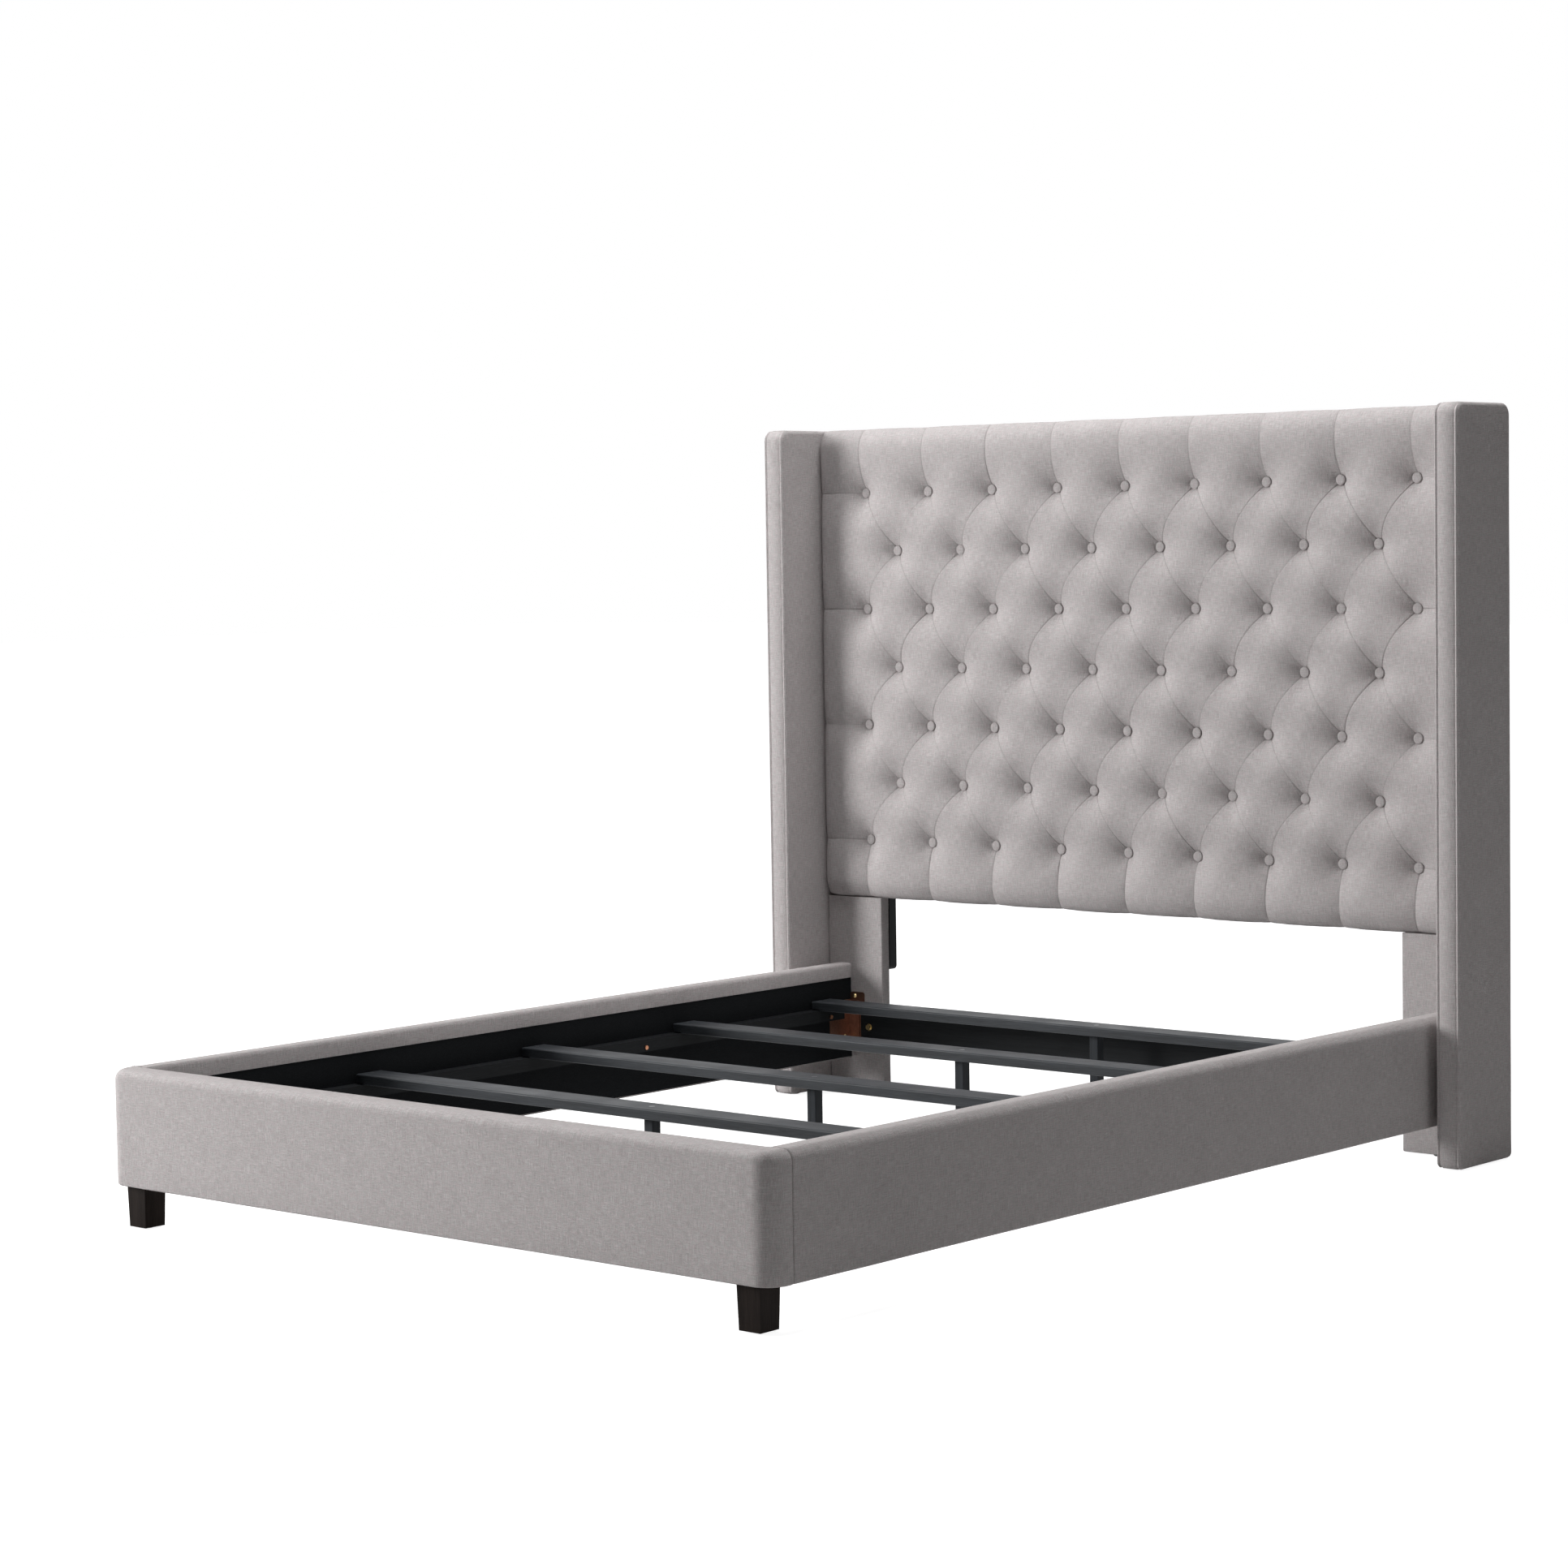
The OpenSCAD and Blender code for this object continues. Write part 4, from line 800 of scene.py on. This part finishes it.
class BED_OT_tufted_panel(bpy.types.Operator):
    """Makes the headboard's deep-buttoned linen, fold by fold"""

    bl_idname = "bed.tufted_panel"
    bl_label = "Tufted Panel"

    def execute(self, context):
        s = context.scene.bed_tuft
        slack, least_share = 0.0008, 0.15
        low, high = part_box("tufted_pad")
        half_width = high.x
        profile = PanelProfile(low, high, s.edge_depth, s.edge_height)
        rows = tuft_rows()
        rise = settle(rows, half_width, profile)
        bm = bmesh.new()
        flat_layer = bm.verts.layers.float_vector.new("flat")
        # Painted shade along the folds and round the buttons' rims, which the linen reads as its
        # fold attribute.
        fold_shade_layer = bm.verts.layers.float.new("fold")
        for corners, folds, wraps in patch_list(rows, half_width, profile):
            along = s.cuts * 2 if wraps else s.cuts
            places, lines = patch_points(corners, folds, s.cuts, along)
            depths, fold = tufted_depth(np.array(places), lines, rows, half_width, profile)
            if rise:
                depths = depths - rise(np.array(places))
            grid = bmesh.ops.create_grid(
                bm, x_segments=s.cuts, y_segments=along, size=1)["verts"]
            grid.sort(key=lambda v: (round(v.co.x, 5), round(v.co.y, 5)))
            for v, place, depth, near in zip(grid, places, depths, fold):
                point, out = profile.at(place.y)
                swell = slack * noise.noise(Vector((place.x * 8, place.y * 8, 2)))
                facing = least_share + (1 - least_share) * abs(out.x)
                point = point - out * (facing * float(depth) + slack - swell)
                v.co = (place.x, point.x, point.y)
                v[flat_layer] = (place.x, place.y, 0)
                v[fold_shade_layer] = float(near)
        bmesh.ops.remove_doubles(bm, verts=bm.verts, dist=MERGE)
        self.notch(bm)
        bmesh.ops.recalc_face_normals(bm, faces=bm.faces)
        front = max(bm.faces, key=lambda f: f.calc_area())
        if front.normal.y > 0:
            bmesh.ops.reverse_faces(bm, faces=bm.faces)
        layer = bm.loops.layers.uv.new("weave")
        for face in bm.faces:
            for loop in face.loops:
                loop[layer].uv = loop.vert[flat_layer].xy
        bmesh.ops.solidify(bm, geom=bm.faces[:], thickness=LINEN)
        finish = linen("tufted_linen", with_fold_shade=True)
        piece = add_piece("tufted_linen_panel", bm, finish, sharp=70)
        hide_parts("tufted_pad")
        self.turn_in(low, high)
        return {"FINISHED"}

    def turn_in(self, low, high):
        """Turns the linen's two ends in over the back edges of the frame, clear of the struts."""
        gap, under, thick = 0.001, 0.003, 0.006
        frame_low, frame_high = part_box("headboard_frame")
        stops = [low.x + gap]
        for node in ("left_strut", "right_strut"):
            strut_low, strut_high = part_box(node)
            stops += [strut_low.x - gap, strut_high.x + gap]
        stops.append(high.x - gap)
        strips = [(stops[0], stops[-1], frame_high.z + SKIN, high.z - under)]
        strips += [(a, b, low.z + under, frame_low.z - SKIN)
                   for a, b in zip(stops[::2], stops[1::2])]
        bm = bmesh.new()
        for left, right, bottom, top in strips:
            put(bm, bmesh.ops.create_cube(bm, size=1)["verts"],
                (right - left, thick, top - bottom),
                ((left + right) / 2, frame_high.y - SKIN - thick / 2, (top + bottom) / 2))
        bevel_where(bm, lambda e: True, 0.0008, 2)
        lay_weave(bm)
        add_piece("headboard_turned_linen", bm, linen_cover())

    def notch(self, bm):
        """Opens the lower wrap where the struts run up through it."""
        gap, wrap = 0.001, 0.012
        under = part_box("tufted_pad")[0].z + wrap
        for node in ("left_strut", "right_strut"):
            low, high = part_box(node)
            for axis, place in ((0, low.x - gap), (0, high.x + gap), (1, low.y - gap)):
                near = [f for f in bm.faces if f.calc_center_median().z < under]
                parts = {p for f in near for p in (*f.verts, *f.edges, f)}
                slice_at(bm, axis, (place,), list(parts))
            gone = [
                f for f in bm.faces
                if low.x - gap < f.calc_center_median().x < high.x + gap
                and f.calc_center_median().y > low.y - gap and f.calc_center_median().z < under]
            bmesh.ops.delete(bm, geom=gone, context="FACES")


class BED_OT_buttons(bpy.types.Operator):
    """Makes the linen-covered buttons that hold the tufting down"""

    bl_idname = "bed.buttons"
    bl_label = "Covered Buttons"

    def execute(self, context):
        s = context.scene.bed_tuft
        r, h = s.button_diameter / 2, s.button_height
        pressed, most_tilt, most_nod = 0.0020, 0.10, 0.08
        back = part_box("tufted_pad")[0].y + s.dimple_depth + pressed
        bm = bmesh.new()
        dome = [(0, h), (0.55 * r, 0.97 * h), (0.80 * r, 0.91 * h), (0.91 * r, 0.80 * h),
                (0.975 * r, 0.62 * h), (r, 0.4 * h), (0.98 * r, 0.15 * h), (0.85 * r, 0), (0, 0)]
        verts = [bm.verts.new((x, -y, 0)) for x, y in dome]
        edges = [bm.edges.new(pair) for pair in zip(verts, verts[1:])]
        bmesh.ops.spin(
            bm, geom=verts + edges, cent=(0, 0, 0), axis=(0, 1, 0), dvec=(0, 0, 0),
            angle=2 * math.pi, steps=24, use_merge=True)
        bmesh.ops.remove_doubles(bm, verts=bm.verts, dist=MERGE)
        bmesh.ops.recalc_face_normals(bm, faces=bm.faces)
        master = everything(bm)
        for k, place in enumerate(p for row in tuft_rows() for p in row):
            made = bmesh.ops.duplicate(bm, geom=master)["geom"]
            moved = verts_in(made)
            tilt = noise.noise(Vector((k * 0.37, 0.2, 0.6))) * most_tilt
            nod = noise.noise(Vector((k * 0.53, 3.2, 1.6))) * most_nod
            bmesh.ops.rotate(
                bm, verts=moved, cent=(0, 0, 0),
                matrix=Matrix.Rotation(tilt, 3, "Z") @ Matrix.Rotation(nod, 3, "X"))
            bmesh.ops.translate(bm, verts=moved, vec=(place.x, back, place.y))
        bmesh.ops.delete(bm, geom=verts_in(master))
        add_cover("covered_buttons", bm, "tuft_buttons", sharp=75)
        return {"FINISHED"}


# ---------- wings, posts and rails ----------

class BED_OT_wings(bpy.types.Operator):
    """Makes the two wings: side panels joined by a boxing strip with sewn seams"""

    bl_idname = "bed.wings"
    bl_label = "Wings"

    def execute(self, context):
        s, cloth = context.scene.bed_cover, context.scene.bed_linen
        for k, node in enumerate(("left_wing_cover", "right_wing_cover")):
            low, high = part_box(node)
            bm = prism(0, low.x, high.x, (
                (low.y, low.z, s.wing_foot), (high.y, low.z, s.wing_foot),
                (high.y, high.z, s.wing_top), (low.y, high.z, s.wing_top)))
            for side in (low.x, high.x):
                bevel_where(bm, lambda e, side=side: lies(e, 0, side), s.wing_edge, 4)
            for place in (low.x + s.wing_edge, high.x - s.wing_edge):
                press_seam(bm, 0, place, 1.6 * cloth.seam_width, 1.3 * cloth.seam_depth)
            cut_up(bm, low, high, (2, 0.05), (1, 0.04))
            soften(bm, cloth.softness, seed=3.1 * k, hold=lambda v: v.co.z < low.z + 0.02)
            add_cover(node.replace("cover", "upholstery"), bm, node)
        return {"FINISHED"}


class BED_OT_posts(bpy.types.Operator):
    """Makes the linen round the two posts under the panel"""

    bl_idname = "bed.posts"
    bl_label = "Posts"

    def execute(self, context):
        cloth = context.scene.bed_linen
        r, hem, over, seam_in, seam_width, seam_depth = 0.004, 0.003, 0.0012, 0.006, 0.0012, 0.0008
        for k, node in enumerate(("left_post_cover", "right_post_cover")):
            low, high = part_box(node)
            top = high.z + over
            bm = prism(2, low.z, top, (
                (low.x, low.y, r), (high.x, low.y, r), (high.x, high.y, r), (low.x, high.y, r)))
            bevel_where(bm, lambda e: lies(e, 2, low.z), hem, 3)
            seam = low.x if k else high.x
            press_seam(bm, 1, high.y - seam_in, seam_width, seam_depth,
                       lambda v: abs(v.co.x - seam) < 0.001)
            slice_at(bm, 2, steps(low.z, top, 0.05))
            soften(bm, cloth.softness, seed=5.3 + k, hold=lambda v: v.co.z < low.z + 0.01)
            add_cover(node.replace("cover", "upholstery"), bm, node)
        return {"FINISHED"}


class BED_OT_rails(bpy.types.Operator):
    """Makes the padded linen over the outside and top of the side rails"""

    bl_idname = "bed.rails"
    bl_label = "Rail Covers"

    def execute(self, context):
        s, cloth = context.scene.bed_cover, context.scene.bed_linen
        for k, side in enumerate(("left", "right")):
            low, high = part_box(side + "_rail_cover")
            core_low, core_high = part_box(side + "_rail_core")
            sign = 1 if low.x > 0 else -1
            inner, outer = (low.x, high.x) if sign > 0 else (high.x, low.x)
            core_in, core_out = (
                (core_low.x, core_high.x) if sign > 0 else (core_high.x, core_low.x))
            wrap = high.z - s.wrap_drop
            core_in -= sign * SKIN
            core_out += sign * SKIN
            core_top, core_bottom = core_high.z + SKIN, core_low.z - SKIN
            bm = prism(1, low.y, high.y, (
                (inner, wrap, 0), (inner, high.z, s.inner_edge), (outer, high.z, s.top_edge),
                (outer, low.z, s.low_edge), (core_in, low.z, 0), (core_in, core_bottom, 0),
                (core_out, core_bottom, 0), (core_out, core_top, 0), (core_in, core_top, 0),
                (core_in, wrap, 0)))
            for end, inward in ((low.y, 1), (high.y, -1)):
                tuck_in(bm, 1, end, inward, lambda v: self.outside(v.co, outer, high.z, s))
            cut_up(bm, low, high, (1, 0.06), (2, 0.045))
            soften(bm, cloth.softness, seed=8.2 + k,
                   hold=lambda v: not self.outside(v.co, outer, high.z, s))
            add_cover(side + "_rail_upholstery", bm, side + "_rail_cover")
        return {"FINISHED"}

    @staticmethod
    def outside(place, outer, top, s):
        """Whether a place is on the rail's outer face, or on its top or rounded edges."""
        depth = abs(place.x - outer)
        return depth < s.low_edge + MERGE and place.z < top or (
            place.z > top - s.top_edge and depth < s.top_edge + MERGE) or place.z > top - MERGE


class BED_OT_footboard(bpy.types.Operator):
    """Makes the padded footboard with its round corners and the stitches that close them"""

    bl_idname = "bed.footboard"
    bl_label = "Footboard Cover"

    def execute(self, context):
        s, cloth = context.scene.bed_cover, context.scene.bed_linen
        low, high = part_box("footboard_cover")
        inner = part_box("left_rail_cover")[1].x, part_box("right_rail_cover")[0].x
        core_back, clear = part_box("footboard_core")[1].y, 0.0005
        bm = prism(2, low.z, high.z, (
            (low.x, low.y, s.corner), (high.x, low.y, s.corner), (high.x, high.y, 0),
            (inner[1], high.y, 0), (inner[0], high.y, 0), (low.x, high.y, 0)))

        def outer_edge(e, z):
            return lies(e, 2, z) and not lies(e, 1, high.y)

        bevel_where(bm, lambda e: outer_edge(e, high.z), s.top_edge, 7)
        bevel_where(bm, lambda e: outer_edge(e, low.z), s.low_edge, 3)
        bevel_where(bm, lambda e: lies(e, 2, high.z) and lies(e, 1, high.y) and all(
            inner[0] - MERGE < v.co.x < inner[1] + MERGE for v in e.verts), s.inner_edge, 4)
        wrap, lip = high.z - s.wrap_drop, low.z + 0.003
        slice_at(bm, 2, (lip, wrap))
        hollow = [
            f for f in bm.faces if f.normal.y > 0.9
            and inner[0] < f.calc_center_median().x < inner[1]
            and lip < f.calc_center_median().z < wrap]
        pushed = bmesh.ops.extrude_face_region(bm, geom=hollow)["geom"]
        bmesh.ops.translate(
            bm, verts=verts_in(pushed), vec=(0, core_back - high.y - clear, 0))
        bmesh.ops.delete(bm, geom=hollow, context="FACES")
        tuck_in(bm, 1, high.y, -1, lambda v: not inner[0] + 1e-4 < v.co.x < inner[1] - 1e-4)
        cut_up(bm, low, high, (0, 0.06), (2, 0.045))
        soften(bm, cloth.softness, seed=12.4, hold=lambda v: v.co.y > high.y - 0.02)
        add_cover("footboard_upholstery", bm, "footboard_cover")
        self.stitches(high, inner, s)
        return {"FINISHED"}

    def stitches(self, high, inner, s):
        """Small hand stitches across the top, where a side rail's linen meets the footboard's."""
        stitch, sunk, lean = (0.0008, 0.0028, 0.0007), 0.0006, 0.35
        bm = bmesh.new()
        for start, end in ((inner[1], high.x), (-high.x, inner[0])):
            for x in steps(start + 0.004, end - 0.012, s.stitch_pitch):
                made = bmesh.ops.create_uvsphere(bm, u_segments=6, v_segments=4, radius=1)["verts"]
                put(bm, made, stitch, (x, high.y, high.z - sunk), Matrix.Rotation(lean, 3, "Z"))
        lay_weave(bm)
        thread = Finish("sewing_thread", Roughness=0.8)
        twist = thread.bands(thread.place(), 0.0008, "DIAGONAL")
        # Painted shade: the thread is darker in the grooves of its twist, where the relief is low.
        thread.colour(thread.blend(twist, (0.34, 0.31, 0.305), (0.56, 0.53, 0.52)))
        thread.normal(thread.relief(twist, 0.0001))
        add_piece("corner_stitches", bm, thread.material)


# ---------- linings ----------

def least(*shares):
    """The least of some shares, kept between 0 and 1."""
    return max(0.0, min(1.0, *shares))


def add_lining(name, cloth, node, axis, place, gape, hole=None):
    """Makes a lining of the cloth in place of the frame's node, stretched on a core."""
    bm, flat, area = cloth_sheet(axis, place, *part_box(node), gape, hole)
    piece = add_piece(name, bm, cloth, sharp=60)
    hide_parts(node)


def cloth_sheet(axis, place, low, high, gape, hole=None):
    """A stretched lining across an axis, drawn from low to high, that gapes a little."""
    a, b = [i for i in range(3) if i != axis]
    corners = [(low[a], low[b]), (high[a], low[b]), (high[a], high[b]), (low[a], high[b])]
    bm = bmesh.new()
    verts = []
    for p, q in corners:
        co = Vector((0, 0, 0))
        co[a], co[b], co[axis] = p, q, place
        verts.append(bm.verts.new(co))
    bm.faces.new(verts)
    if hole:
        for i in (a, b):
            slice_at(bm, i, [v for v in (hole[0][i], hole[1][i]) if low[i] < v < high[i]])
        gone = [
            f for f in bm.faces
            if all(hole[0][i] < f.calc_center_median()[i] < hole[1][i] for i in (a, b))]
        bmesh.ops.delete(bm, geom=gone, context="FACES")
    cut_up(bm, low, high, (a, 0.03), (b, 0.02))
    area = sum(f.calc_area() for f in bm.faces)
    for v in bm.verts:
        v.co[axis] += gape(v.co)
    bmesh.ops.recalc_face_normals(bm, faces=bm.faces)
    bmesh.ops.solidify(bm, geom=bm.faces[:], thickness=LINING)
    bmesh.ops.recalc_face_normals(bm, faces=bm.faces)
    return bm, (high[a] - low[a], high[b] - low[b]), area


class BED_OT_linings(bpy.types.Operator):
    """Makes the black linings inside the rails and footboard and over the headboard's back"""

    bl_idname = "bed.linings"
    bl_label = "Linings"

    def execute(self, context):
        cloth = lining_cloth()
        gap, hem, ease = 0.001, 0.012, 0.01
        for side, sign in (("left", -1), ("right", 1)):
            node = side + "_rail_lining"
            low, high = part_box(node)
            hook_low, hook_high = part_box(side + "_hook_bracket")
            leaf = (Vector((-math.inf, hook_low.y - gap, hook_low.z - gap)),
                    Vector((math.inf, math.inf, hook_high.z + gap)))
            face = high.x - SKIN if sign > 0 else low.x + SKIN
            ledge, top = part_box(side + "_ledger")[1].z + hem, high.z - hem

            def gape(co, sign=sign, ledge=ledge, top=top):
                free = least((co.z - ledge) / ease, (top - co.z) / ease)
                wave = noise.noise(Vector((co.y * 7, co.z * 9, sign)))
                return -sign * GAPE * free * (0.5 + 0.5 * wave)

            add_lining(side + "_rail_black_lining", cloth, node, 0, face, gape,
                       leaf)
        self.footboard(cloth)
        self.back(cloth)
        return {"FINISHED"}

    def footboard(self, cloth):
        low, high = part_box("footboard_lining")

        def gape(co):
            free = least(
                (co.z - low.z) / 0.03, (high.z - co.z) / 0.02, (high.x - 0.1 - abs(co.x)) / 0.03)
            return GAPE * free * (0.5 + 0.5 * noise.noise(Vector((co.x * 6, co.z * 9, 7))))

        add_lining("footboard_black_lining", cloth, "footboard_lining", 1, low.y + 0.0002,
                   gape)

    def back(self, cloth):
        low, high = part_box("back_cloth")
        hem, reach, sag, pucker, pitch = 0.012, 0.05, 0.003, 0.0003, 0.06

        def gape(co):
            edge = min(co.z - low.z, high.z - co.z, high.x - abs(co.x))
            free = least((edge - hem) / reach)
            wave = noise.noise(Vector((co.x * 3.5, co.z * 3.5, 11)))
            scallop = math.cos(2 * math.pi * co.x / pitch) + math.cos(2 * math.pi * co.z / pitch)
            near = max(0.0, 1 - edge / reach)
            return sag * free * (0.5 + 0.5 * wave) + pucker * near * (2 - scallop) * free

        add_lining("headboard_back_cloth", cloth, "back_cloth", 1, low.y + 0.0002, gape)
        self.staples(low, high, pitch)

    def staples(self, low, high, pitch):
        bm = bmesh.new()
        inset, crown = 0.008, (0.012, 0.0006, 0.0009)
        places = [(x, z, 0) for x in steps(low.x, high.x, pitch)
                  for z in (low.z + inset, high.z - inset)]
        places += [(x, z, 1) for z in steps(low.z, high.z, pitch)
                   for x in (low.x + inset, high.x - inset)]
        for x, z, turn in places:
            put(bm, bmesh.ops.create_cube(bm, size=1)["verts"], crown, (x, high.y + SKIN, z),
                Matrix.Rotation(math.pi / 2, 3, "Y") if turn else None)
        bevel_where(bm, lambda e: True, 0.0001, 1)
        wire = steel("staple_wire", (0.55, 0.55, 0.56), 0.3)
        add_piece("back_cloth_staples", bm, wire)


# ---------- finishes of the rigid pieces ----------

def dress(finish, nodes):
    """Gives CAD nodes their finish, in every slot they have."""
    for node in nodes:
        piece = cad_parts[node]
        for slot in piece.material_slots:
            slot.link = "DATA"
            slot.material = finish


class BED_OT_finishes(bpy.types.Operator):
    """Gives the timber, paint, steel and plastic pieces their finishes"""

    bl_idname = "bed.finishes"
    bl_label = "Rigid Finishes"

    def execute(self, context):
        s = context.scene.bed_finish
        pine = (0.52, 0.37, 0.22)
        dress(wood("plywood", (0.50, 0.36, 0.22), 0, 0.6, 0.25), ["headboard_ply"])
        dress(wood("pine_upright", pine, 2, 0.6, 0.3), [
            "headboard_frame", "left_wing_core", "right_wing_core", "left_post_core",
            "right_post_core"])
        dress(wood("pine_along", pine, 1, 0.6, 0.3), ["left_rail_core", "right_rail_core"])
        dress(wood("pine_across", pine, 0, 0.6, 0.3), ["footboard_core"])
        black = tuple(s.black_wood)
        dress(wood("black_stain_across", black, 0, 0.5, 0.35, 0.0002, 0.07), ["stretcher"])
        dress(wood("black_stain_along", black, 1, 0.5, 0.35, 0.0002, 0.07),
              ["left_ledger", "right_ledger"])
        dress(wood("black_stain_upright", black, 2, 0.5, 0.35, 0.0002, 0.07),
              ["left_strut", "right_strut"])
        paint = tuple(s.paint)
        dress(wood("slat_paint_across", paint, 0, 0.46, 0.45, 0.0003, 0.22),
              [f"slat_{i}" for i in range(1, 5)])
        dress(wood("slat_paint_upright", paint, 2, 0.5, 0.35, 0.0002, 0.1),
              [f"centre_leg_{i}" for i in range(1, 5)])
        dress(wood("leg_stain", tuple(s.leg_wood), 2, 0.55, 0.45, 0.0002, 0.04),
              ["left_front_leg", "right_front_leg"])
        dress(steel("bronze_plate", tuple(s.bronze), 0.36), [
            "left_hook_bracket", "right_hook_bracket", "left_post_plate", "right_post_plate",
            "corner_brackets"])
        dress(steel("yellow_zinc", tuple(s.zinc), 0.28), [
            "strut_bolts", "wing_bolts", "stretcher_bolts", "bracket_screws",
            "post_plate_bolts", "corner_bolts", "hanger_bolts", "leg_inserts"])
        dress(steel("dark_zinc", (0.16, 0.165, 0.175), 0.30), ["centre_bolts", "slat_screws"])
        dress(steel("copper_plate", tuple(s.copper), 0.26), ["ledger_bolts"])
        dress(plastic(), ["headboard_glides", "leg_glides"] + [
            f"leveller_{i}" for i in range(1, 5)])
        return {"FINISHED"}


# ---------- stage, lamps and camera ----------

class BED_OT_camera(bpy.types.Operator):
    """Sets the camera at the right front corner, a little above the mattress line"""

    bl_idname = "bed.camera"
    bl_label = "Camera"

    def execute(self, context):
        s = context.scene.bed_studio
        data = bpy.data.cameras.new("view")
        data.sensor_width, data.lens = 36.0, s.lens
        data.clip_end = 100.0
        camera = bpy.data.objects.new("view", data)
        yaw, pitch, roll = s.camera_yaw, s.camera_pitch, s.camera_roll
        ahead = Vector((-math.sin(yaw) * math.cos(pitch), math.cos(yaw) * math.cos(pitch),
                        -math.sin(pitch)))
        right = Vector((math.cos(yaw), math.sin(yaw), 0))
        up = right.cross(ahead)
        tipped_right = math.cos(roll) * right + math.sin(roll) * up
        tipped_up = math.cos(roll) * up - math.sin(roll) * right
        turn = Matrix((tipped_right, tipped_up, -ahead)).transposed().to_4x4()
        camera.matrix_world = Matrix.Translation(s.camera_place) @ turn
        context.scene.collection.objects.link(camera)
        context.scene.camera = camera
        return {"FINISHED"}


class BED_OT_studio(bpy.types.Operator):
    """Sets up the pale floor, the three lamps and the light of the room"""

    bl_idname = "bed.studio"
    bl_label = "Studio"

    def execute(self, context):
        s = context.scene.bed_studio
        context.scene.view_settings.view_transform = "Standard"
        self.lamp("key_lamp", (-4.9, -4.1, 2.3), 2.6, s.key_power)
        self.lamp("fill_lamp", (7.5, 0.6, 1.5), 3.0, s.fill_power)
        self.lamp("top_lamp", (0.2, 0.5, 5.0), 3.0, s.top_power)
        self.room(context, s.world_level)
        self.floor(tuple(s.floor_colour))
        return {"FINISHED"}

    def lamp(self, name, place, size, power):
        data = bpy.data.lights.new(name, "AREA")
        data.shape, data.size, data.energy = "DISK", size, power
        lamp = bpy.data.objects.new(name, data)
        lamp.location = place
        aim = Vector((0, 0.2, 0.6)) - lamp.location
        lamp.rotation_mode = "QUATERNION"
        lamp.rotation_quaternion = aim.to_track_quat("-Z", "Y")
        bpy.context.scene.collection.objects.link(lamp)

    def room(self, context, level):
        world = bpy.data.worlds.new("room")
        context.scene.world = world
        world.use_nodes = True
        n = Nodes(world.node_tree)
        dim = n.tree.nodes["Background"]
        dim.inputs["Color"].default_value = (1, 1, 1, 1)
        dim.inputs["Strength"].default_value = level
        white = n.node("ShaderNodeBackground", {"Color": (1, 1, 1, 1)})
        mix = n.node(
            "ShaderNodeMixShader", {0: n.seen(), 1: dim.outputs[0], 2: white.outputs[0]})
        n.feed(n.tree.nodes["World Output"].inputs["Surface"], mix.outputs[0])

    def floor(self, colour):
        bm = bmesh.new()
        bmesh.ops.create_grid(bm, x_segments=2, y_segments=2, size=40)
        f = Finish("studio_floor", Roughness=0.9)
        patches = f.clouds(f.place(), 2, detail=2)
        f.colour(f.blend(patches, tuple(0.97 * c for c in colour), colour))
        far = f.node("ShaderNodeVectorMath", {0: f.place()}, operation="LENGTH").outputs["Value"]
        glow = f.node("ShaderNodeEmission", {"Strength": f.maths(
            "MULTIPLY", f.seen(), f.ramp(far, 2.0, 7.0, 0.90, 1.0))})
        both = f.node("ShaderNodeAddShader", {0: f.shader.outputs[0], 1: glow.outputs[0]})
        f.feed(f.tree.nodes["Material Output"].inputs["Surface"], both.outputs[0])
        floor = new_object("studio_floor", bm)
        floor.data.materials.append(f.material)


class BED_PT_panel(bpy.types.Panel):
    """Lists the bed's operators and settings"""

    bl_label = "Upholstered Bed"
    bl_idname = "BED_PT_panel"
    bl_space_type = "VIEW_3D"
    bl_region_type = "UI"
    bl_category = "Bed"

    def draw(self, context):
        for operator in OPERATORS:
            self.layout.operator(operator.bl_idname)
        for name, group in SETTINGS.items():
            box = self.layout.box()
            for prop in group.__annotations__:
                box.prop(getattr(context.scene, name), prop)


SETTINGS = {
    "bed_linen": BedLinenSettings,
    "bed_tuft": BedTuftSettings,
    "bed_cover": BedCoverSettings,
    "bed_finish": BedFinishSettings,
    "bed_studio": BedStudioSettings,
}
OPERATORS = (
    BED_OT_camera, BED_OT_studio, BED_OT_tufted_panel, BED_OT_buttons, BED_OT_wings,
    BED_OT_posts, BED_OT_rails, BED_OT_footboard, BED_OT_linings, BED_OT_finishes,
)


def register():
    for cls in (*SETTINGS.values(), *OPERATORS, BED_PT_panel):
        bpy.utils.register_class(cls)
    for name, group in SETTINGS.items():
        setattr(bpy.types.Scene, name, PointerProperty(type=group))


def unregister():
    for name in SETTINGS:
        delattr(bpy.types.Scene, name)
    for cls in reversed((*SETTINGS.values(), *OPERATORS, BED_PT_panel)):
        bpy.utils.unregister_class(cls)


def main():
    register()
    for operator in OPERATORS:
        group, name = operator.bl_idname.split(".")
        getattr(getattr(bpy.ops, group), name)()


if __name__ == "__main__":
    main()
